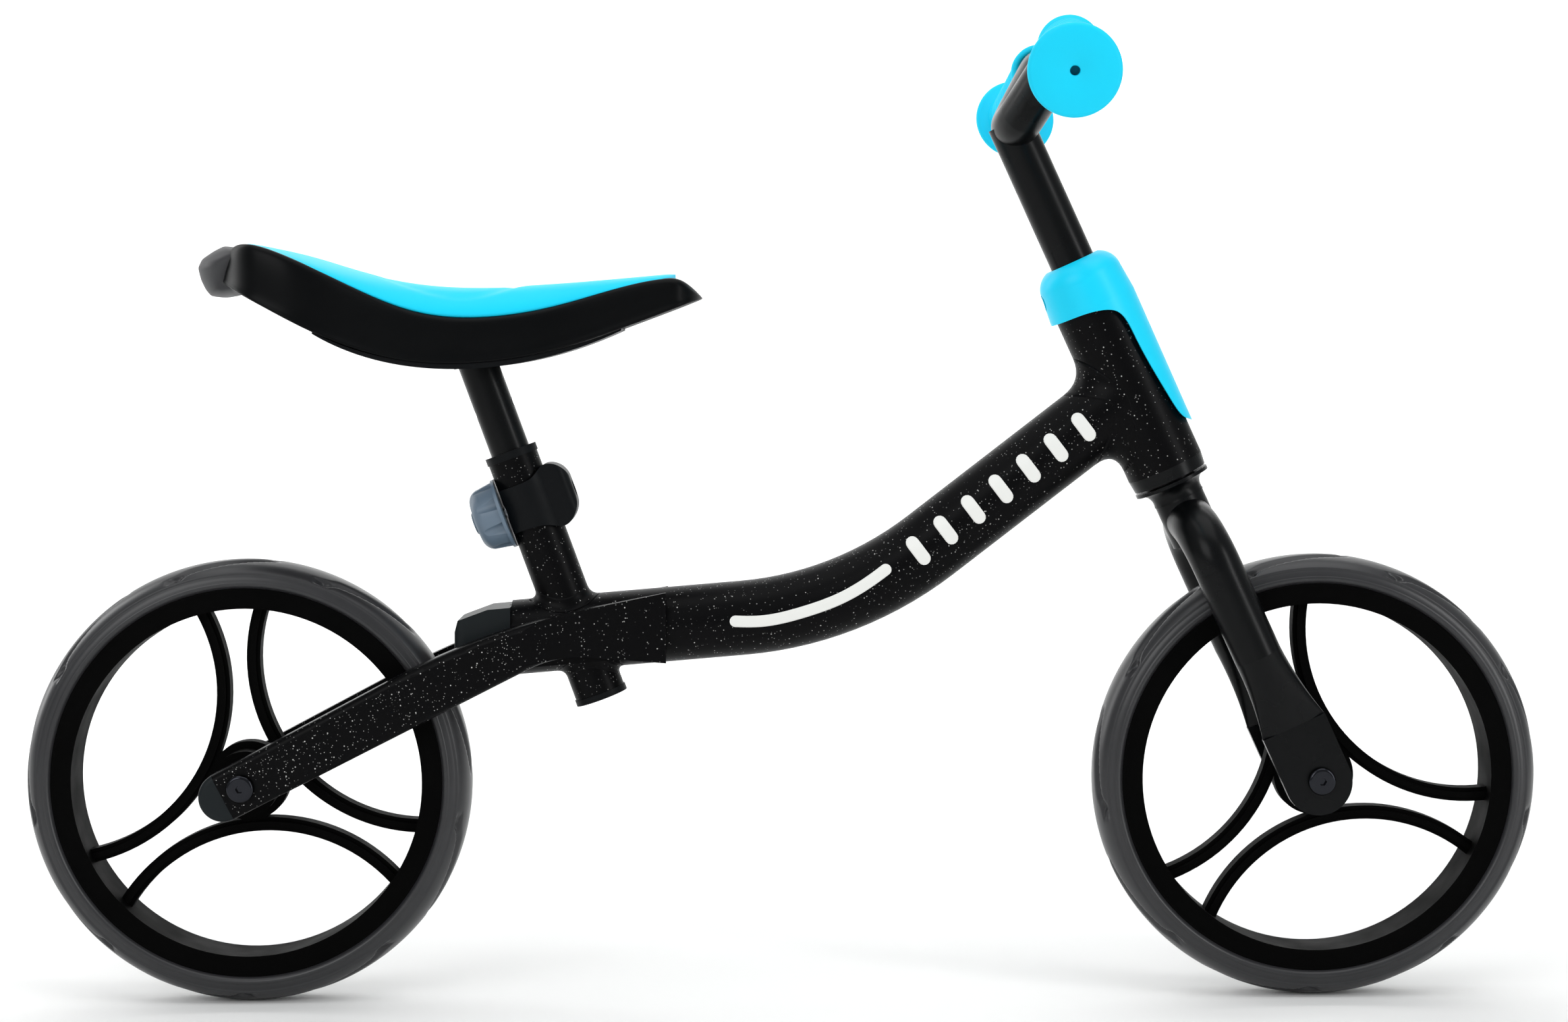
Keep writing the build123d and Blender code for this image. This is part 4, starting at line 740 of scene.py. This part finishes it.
SHELL_SIDE = [
    # inset from the side in mm, share of the band's height, extra height in mm
    (9.0, 0.0, 1.6), (4.0, 0.0, 0.2), (0.8, 0.0, -0.2),
    (-0.5, 0.0, 0.5), (-0.5, 0.0, 1.9), (0.5, 0.0, 3.0),
    (0.2, 0.3, 1.0), (0.0, 0.6, 0.0), (0.3, 0.85, -0.6),
    (1.2, 1.0, -1.4), (3.0, 1.0, 0.1), (5.2, 1.0, 0.3),
    (8.0, 1.0, -0.4), (12.0, 1.0, -1.6),
]
xs = seat_stations(SEAT_BACK + 0.05, SEAT_NOSE - 0.05, 84)
low, rim, wide = through(SHELL_LOW, xs), through(SHELL_RIM, xs), half_width(xs)
shell_rings = []
for x, z0, z1, w in zip(xs, low, rim, wide):
    band = max(z1 - z0, 0.5)
    fade = min(1.0, band / 9.0, w / 14.0)
    half = [(w - inset * fade, z0 + share * band + extra * fade) for inset, share, extra in SHELL_SIDE]
    ring = [(x, -y, z) for y, z in half] + [(x, y, z) for y, z in reversed(half)]
    shell_rings.append([tuple(SEAT_CENTRE + Vector(p)) for p in ring])
seat_shell = round_off(skin("seat_pan", shell_rings, seat_black))
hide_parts("seat_shell")
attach(seat_shell, "seat")

# %% [markdown]
# ## The seat pad
# The pad is foam with its own tough skin, moulded in one shot: full at the sides, slightly dished
# along the middle, and thin where it runs out at the tail and nose. It has a shallow oval pressed
# into its top.

# %% Make the pad
PAD_STEPS = 26
OVAL_CENTRE, OVAL_LENGTH, OVAL_WIDTH = (-18.0, 0.0), 40.0, 33.0
PAD_BACK, PAD_NOSE, PAD_INSET = -128.0, 110.5, 3.0
PAD_BACK_ROUND, PAD_NOSE_ROUND = 9, 7
GROOVE_DEPTH, GROOVE_WIDTH, OVAL_DEPTH = 1.1, 2.2, 0.5
pad_xs = seat_stations(PAD_BACK, PAD_NOSE, 110)
pad_low = through(SHELL_RIM, pad_xs) - 0.9
pad_high = np.maximum(through(PAD_TOP, np.clip(pad_xs, -122, 106)), pad_low + 1.0)
pad_wide = half_width(pad_xs, PAD_INSET)
for from_end in ((pad_xs - PAD_BACK + 0.05) / PAD_BACK_ROUND, (PAD_NOSE + 0.05 - pad_xs) / PAD_NOSE_ROUND):
    pad_wide = pad_wide * np.sqrt(np.clip(1 - (1 - np.clip(from_end, 0, 1)) ** 2, 0, 1))
pad_rings = []
for x, z0, z1, w in zip(pad_xs, pad_low, pad_high, pad_wide):
    ring = []
    for s in range(PAD_STEPS + 1):
        share = s / PAD_STEPS * 2 - 1
        across = math.sin(share * math.pi / 2)
        lift = (1 - abs(across) ** 3.2) ** 0.5
        y = w * across
        height = z0 + (z1 - z0) * lift
        away = math.hypot((x - OVAL_CENTRE[0]) / OVAL_LENGTH, y / OVAL_WIDTH) - 1
        height -= GROOVE_DEPTH * math.exp(-((away * OVAL_WIDTH / GROOVE_WIDTH) ** 2))
        height -= OVAL_DEPTH if away < 0 else OVAL_DEPTH * math.exp(-((away * 10) ** 2))
        ring.append((x, y, max(height, z0)))
    ring += [(x, w * 0.6, z0 - 0.5), (x, 0.0, z0 - 0.5), (x, -w * 0.6, z0 - 0.5)]
    pad_rings.append([tuple(SEAT_CENTRE + Vector(p)) for p in ring])
seat_pad = round_off(skin("seat_foam_pad", pad_rings, pad_cyan))
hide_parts("seat_pad")
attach(seat_pad, "seat")
print("seat:", round(SEAT_NOSE - SEAT_BACK, 1), "mm long,", round(2 * float(wide.max()), 1), "mm wide")

# %% [markdown]
# ## The lifting grip behind the seat
# A grey cap wraps the tail of the seat, so that a parent can lift the bike by it. It is a
# separate moulding that meets the shell on a slanted seam. Its section is the same faceted comma
# all the way round, but it gets thinner towards the seam, where it lies flush with the shell.

# %% Make the tail grip
# outwards from the shell and height above the seat centre, in mm
TAIL_SECTION = [
    (-7.0, 67.2), (-1.5, 67.6), (4.2, 64.8), (10.9, 60.4),
    (13.4, 55.5), (12.0, 49.0), (9.5, 43.4), (6.6, 39.8),
    (0.0, 39.0), (-8.0, 40.4), (-8.0, 54.0),
]
TAIL_TOP, TAIL_LOW = 67.6, 39.0
SEAM_TOP_REACH, SEAM_LOW_REACH = 51.0, 30.0
TAIL_ROUND, TAIL_WIDE = 27.0, 57.0


def tail_place(y):
    """X of the shell's rounded tail at this half width, and the way out from it."""
    across = max(1 - (y / TAIL_WIDE) ** 2, 1e-4)
    x = SEAT_BACK + TAIL_ROUND * (1 - math.sqrt(across))
    slope = TAIL_ROUND * y / (TAIL_WIDE**2 * math.sqrt(across))
    return x, Vector((-1.0, slope, 0.0)).normalized()


def split_edges(points, parts):
    """The same outline with extra points on its edges, so that rounding it keeps its corners."""
    points = np.array(points)
    nexts = np.roll(points, -1, axis=0)
    return [tuple(a + (b - a) * k / parts) for a, b in zip(points, nexts) for k in range(parts)]


tail_rings = []
for s in range(41):
    share = s / 40 * 2 - 1
    swell = math.sqrt(max(1 - abs(share) ** 2.4, 0.0))
    ring = []
    for out, z in split_edges(TAIL_SECTION, 3):
        height = (z - TAIL_LOW) / (TAIL_TOP - TAIL_LOW)
        y = share * (SEAM_LOW_REACH + (SEAM_TOP_REACH - SEAM_LOW_REACH) * height)
        x, way = tail_place(y)
        thick = 0.5 + (out - 0.5) * swell if out > 0 else out * (0.35 + 0.65 * swell)
        level = z + (1 - swell) * (0.5 - height) * (TAIL_TOP - TAIL_LOW) * 0.45
        ring.append(tuple(SEAT_CENTRE + Vector((x, y, level)) + way * thick))
    tail_rings.append(ring)
tail_grip = round_off(skin("tail_lift_grip", tail_rings, tail_grey))
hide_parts("seat_tail_grip")
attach(tail_grip, "seat")

# %% [markdown]
# ## Welds, filled and painted over
# The tubes are welded, and under the paint each joint looks like a smooth hollow curve. A fillet
# between two round tubes follows the line where they meet. At each place on that line one point
# is taken a little way along each tube, and an arc that is hollow outwards joins them.

# %% Fillet between a tube and the tube it runs into
FILLET_STEPS, ARC_POINTS = 96, 9
SEARCH_REACH, SEARCH_STEPS = 90.0, 40


def fillet_between(name, origin, way, radius, wall_line, wall_radius, reach):
    """Collar that blends a round tube (origin, way, radius) into a thicker tube along wall_line.

    reach gives how far it runs along each tube, from the angle round the thinner one."""
    wall_origin, wall_way = wall_line
    way, wall_way = way.normalized(), wall_way.normalized()
    across = wall_way.cross(way).normalized()
    level = way.cross(across).normalized()
    rings = []
    for s in range(FILLET_STEPS):
        a = 2 * math.pi * s / FILLET_STEPS
        spoke = across * math.cos(a) + level * math.sin(a)

        def on_tube(distance):
            return origin + spoke * radius + way * distance

        def gap(distance):
            offset = on_tube(distance) - wall_origin
            return (offset - wall_way * offset.dot(wall_way)).length - wall_radius

        near, far = 0.0, SEARCH_REACH
        for _ in range(SEARCH_STEPS):
            middle = (near + far) / 2
            near, far = (middle, far) if gap(middle) < 0 else (near, middle)
        meet = (near + far) / 2
        ease = reach(a)
        up_point = on_tube(meet + ease)
        out = origin + spoke * (radius + ease) + way * meet
        offset = out - wall_origin
        along_wall = wall_way * offset.dot(wall_way)
        out_point = wall_origin + along_wall + (offset - along_wall).normalized() * wall_radius
        corner = on_tube(meet)
        ring = []
        for t in np.linspace(0, 1, ARC_POINTS):
            ring.append(up_point * (1 - t) ** 2 + corner * 2 * t * (1 - t) + out_point * t**2)
        # the back of the ring is sunk in the tubes
        ring += [(out_point + corner) * 0.5 - spoke * 1.5, corner - spoke * 2.0, up_point - spoke * 1.2]
        rings.append([tuple(p) for p in ring])
    piece = skin(name, rings, fleck_coat, loop=True)
    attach(piece, "frame")


front_way = Vector((-math.cos(CLIMB_RISE), 0, -math.sin(CLIMB_RISE)))
rear_way = Vector((math.cos(REAR_RISE), 0, math.sin(REAR_RISE)))
head_line, rear_line = (HEAD_FOOT, HEAD_UP), (SEAT_FOOT, rear_way)
fillet_between(
    "head_tube_fillet", CLIMB_END, front_way, MAIN_RADIUS, head_line, HEAD_RADIUS,
    lambda a: 9.0 + 5.0 * math.cos(a - math.radians(90)) ** 2,
)
fillet_between(
    "seat_tube_fillet", SEAT_FOOT, SEAT_UP, SEAT_TUBE_RADIUS, rear_line, MAIN_RADIUS, lambda a: 5.5
)
fillet_between(
    "seat_tube_foot_fillet", SEAT_FOOT, SEAT_UP * -1, SEAT_TUBE_RADIUS, rear_line, MAIN_RADIUS, lambda a: 4.5
)
print("fillets: 3")

# %% [markdown]
# ## Transfers on the main tube
# A printed transfer is a very thin film that follows the tube. It stands a tenth of a millimetre
# proud here, so that it never mixes with the paint under it. Each mark is drawn as a short path
# of X and Z with a width, and every point of it is pushed on to the tube's surface. The marks are
# plain bars: a long curved stripe and a row of slanted bars.

# %% Marks that follow the tube
FILM, FILM_SINK = 0.12, 0.3
STRIPE_WIDTH, BAR_WIDTH = 6.4, 7.4
# the row of slanted bars: middle of the first, step to the last, and half of a bar's run, in X and Z
BAR_FIRST, BAR_SPAN, BAR_HALF = (76.0, 254.0), (92.0, 68.5), (5.4, 7.2)


def on_main_tube(x, z, side, proud):
    """Point of the tube's surface, at this X and Z, proud of it by so many mm."""
    gaps = MAIN_LINE - np.array([x, z])
    nearest = int(np.argmin(np.hypot(*gaps.T)))
    best = None
    for i in (max(nearest - 1, 0), min(nearest, len(MAIN_LINE) - 2)):
        a, b = MAIN_LINE[i], MAIN_LINE[i + 1]
        t = np.clip(np.dot(np.array([x, z]) - a, b - a) / np.dot(b - a, b - a), 0, 1)
        foot = a + (b - a) * t
        off = np.array([x, z]) - foot
        if best is None or np.hypot(*off) < np.hypot(*best[1]):
            best = (foot, off)
    foot, off = best
    radius = MAIN_RADIUS + proud
    reach = min(np.hypot(*off), radius * 0.98)
    scale = radius / MAIN_RADIUS
    y = math.sqrt(max(radius**2 - (reach * scale) ** 2, 0.0))
    return (foot[0] + off[0] * scale, -side * y, foot[1] + off[1] * scale)


def mark(name, path, width, side):
    """A bar along a path of X and Z, with half round ends, laid on the tube as a thin closed film."""
    path = np.array(path, float)
    lengths = np.concatenate([[0], np.cumsum(np.hypot(*np.diff(path, axis=0).T))])
    total = lengths[-1]
    count = max(12, int(total / 1.2))
    stations = (1 - np.cos(np.linspace(0, math.pi, count))) / 2 * total
    rings = []
    for s in stations:
        x, z = np.interp(s, lengths, path[:, 0]), np.interp(s, lengths, path[:, 1])
        ahead, behind = min(s + 1, total), max(s - 1, 0)
        d = [np.interp(ahead, lengths, path[:, i]) - np.interp(behind, lengths, path[:, i]) for i in (0, 1)]
        d = np.array(d) / np.hypot(*d)
        n = np.array([-d[1], d[0]])
        edge = min(s, total - s)
        half = width / 2
        if edge < half:
            half = math.sqrt(max(half**2 - (half - edge) ** 2, 1e-4))
        row = [(x + n[0] * half * k / 4, z + n[1] * half * k / 4) for k in range(-4, 5)]
        top = [on_main_tube(px, pz, side, FILM) for px, pz in row]
        under = [on_main_tube(px, pz, side, -FILM_SINK) for px, pz in reversed(row)]
        rings.append(top + under)
    piece = skin(name, rings, decal_white)
    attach(piece, "frame")


STRIPE = [(-29.2, 215.3), (-11.1, 215.2), (12.4, 220.3), (35.9, 229.3), (51.6, 239.0), (60.3, 245.5)]
fine = np.linspace(0, 1, 40)
stripe_x = np.interp(fine, np.linspace(0, 1, 6), [p[0] for p in STRIPE])
stripe_path = list(zip(stripe_x, through(STRIPE, stripe_x)))
BAR_COUNT = 7
for side, label in ((1, "right"), (-1, "left")):
    mark(f"stripe_{label}", stripe_path, STRIPE_WIDTH, side)
    for i in range(BAR_COUNT):
        share = i / (BAR_COUNT - 1)
        x, z = BAR_FIRST[0] + BAR_SPAN[0] * share, BAR_FIRST[1] + BAR_SPAN[1] * share
        ends = [(x - BAR_HALF[0], z + BAR_HALF[1]), (x + BAR_HALF[0], z - BAR_HALF[1])]
        mark(f"bar_mark_{label}_{i + 1}", ends, BAR_WIDTH, side)
bpy.data.objects.remove(seed)
print("marks:", 2 * (BAR_COUNT + 1))

# %% [markdown]
# ## Floor, light and camera
# The floor runs back and curves up into a wall, so there is no horizon. The paper is clear from
# behind, so that the back of the model can be seen past the wall. Big soft lamps stand in front
# and overhead, and narrow ones at the sides draw the long highlights that show a tube is round.

# %% Sweep of pale paper
# matt paper: white and without highlights, so that the floor only shows soft shadows
paper, tree, shader, place = new_material("white_paper_sweep", "F4F4F3", 0.8)
grain(tree, shader, place, 3.0, 0.02, 0.2)
side = node(tree, "ShaderNodeNewGeometry")
clear = node(tree, "ShaderNodeBsdfTransparent")
one_sided = node(
    tree,
    "ShaderNodeMixShader",
    {0: side.outputs["Backfacing"], 1: shader.outputs["BSDF"], 2: clear.outputs["BSDF"]},
)
tree.links.new(one_sided.outputs["Shader"], tree.nodes["Material Output"].inputs["Surface"])
FLOOR_FRONT, CURVE_START, CURVE_RADIUS, WALL_TOP, SWEEP_HALF = -6.0, 1.2, 1.2, 6.0, 7.0
profile = [(FLOOR_FRONT, 0.0), (CURVE_START, 0.0)]
for a in np.linspace(0.05, math.pi / 2, 24):
    profile.append((CURVE_START + CURVE_RADIUS * math.sin(a), CURVE_RADIUS - CURVE_RADIUS * math.cos(a)))
profile.append((CURVE_START + CURVE_RADIUS, WALL_TOP))
verts = [(x, y, z) for y, z in profile for x in (-SWEEP_HALF, SWEEP_HALF)]
faces = [(2 * i, 2 * i + 1, 2 * i + 3, 2 * i + 2) for i in range(len(profile) - 1)]
sweep_mesh = bpy.data.meshes.new("paper_sweep")
sweep_mesh.from_pydata(verts, [], faces)
sweep_mesh.materials.append(paper)
sweep_mesh.shade_smooth()
sweep = bpy.data.objects.new("paper_sweep", sweep_mesh)
scene.collection.objects.link(sweep)

# %% Lights


def lamp(name, place, target, size, watts):
    """A rectangular soft lamp at place that points at target, in metres and watts."""
    data = bpy.data.lights.new(name, "AREA")
    data.shape = "RECTANGLE"
    data.size, data.size_y = size
    data.energy = watts
    light = bpy.data.objects.new(name, data)
    light.location = place
    light.rotation_euler = (Vector(target) - Vector(place)).to_track_quat("-Z", "Y").to_euler()
    scene.collection.objects.link(light)


lamp("overhead_softbox", (0.0, -0.3, 2.2), (0, 0, 0.2), (2.4, 1.8), 20)
lamp("front_softbox", (-1.3, -2.0, 1.3), (0, 0, 0.25), (1.4, 1.4), 17)
lamp("right_strip", (1.7, -1.2, 0.8), (0.1, 0, 0.3), (0.35, 1.6), 12)
lamp("back_wash", (0.0, 1.4, 1.9), (0, 2.4, 0.6), (3.0, 0.6), 34)
lamp("left_kicker", (-1.6, 0.8, 0.9), (0, 0, 0.3), (0.5, 1.4), 8)
world = bpy.data.worlds.new("studio")
scene.world = world
world.use_nodes = True
world.node_tree.nodes["Background"].inputs["Color"].default_value = linear("F2F5F7")
world.node_tree.nodes["Background"].inputs["Strength"].default_value = 0.5
scene.view_settings.view_transform = "Standard"

# %% Camera at knee height, a little ahead of square on
yaw, pitch, roll = math.radians(-0.598), math.radians(-3.341), math.radians(-0.23)
forward = Vector((-math.sin(yaw) * math.cos(pitch), math.cos(yaw) * math.cos(pitch), math.sin(pitch)))
right = Vector((math.cos(yaw), math.sin(yaw), 0.0))
above = right.cross(forward)
right_rolled = right * math.cos(roll) + above * math.sin(roll)
above_rolled = above * math.cos(roll) - right * math.sin(roll)
camera_data = bpy.data.cameras.new("camera")
camera_data.sensor_width = 36.0
camera_data.lens = 4594.5 / 2380 * 36.0
camera = bpy.data.objects.new("camera", camera_data)
turn = Matrix((right_rolled, above_rolled, -forward)).transposed().to_4x4()
camera.matrix_world = Matrix.Translation((-0.01625, -1.7, 0.3746)) @ turn
scene.collection.objects.link(camera)
scene.camera = camera
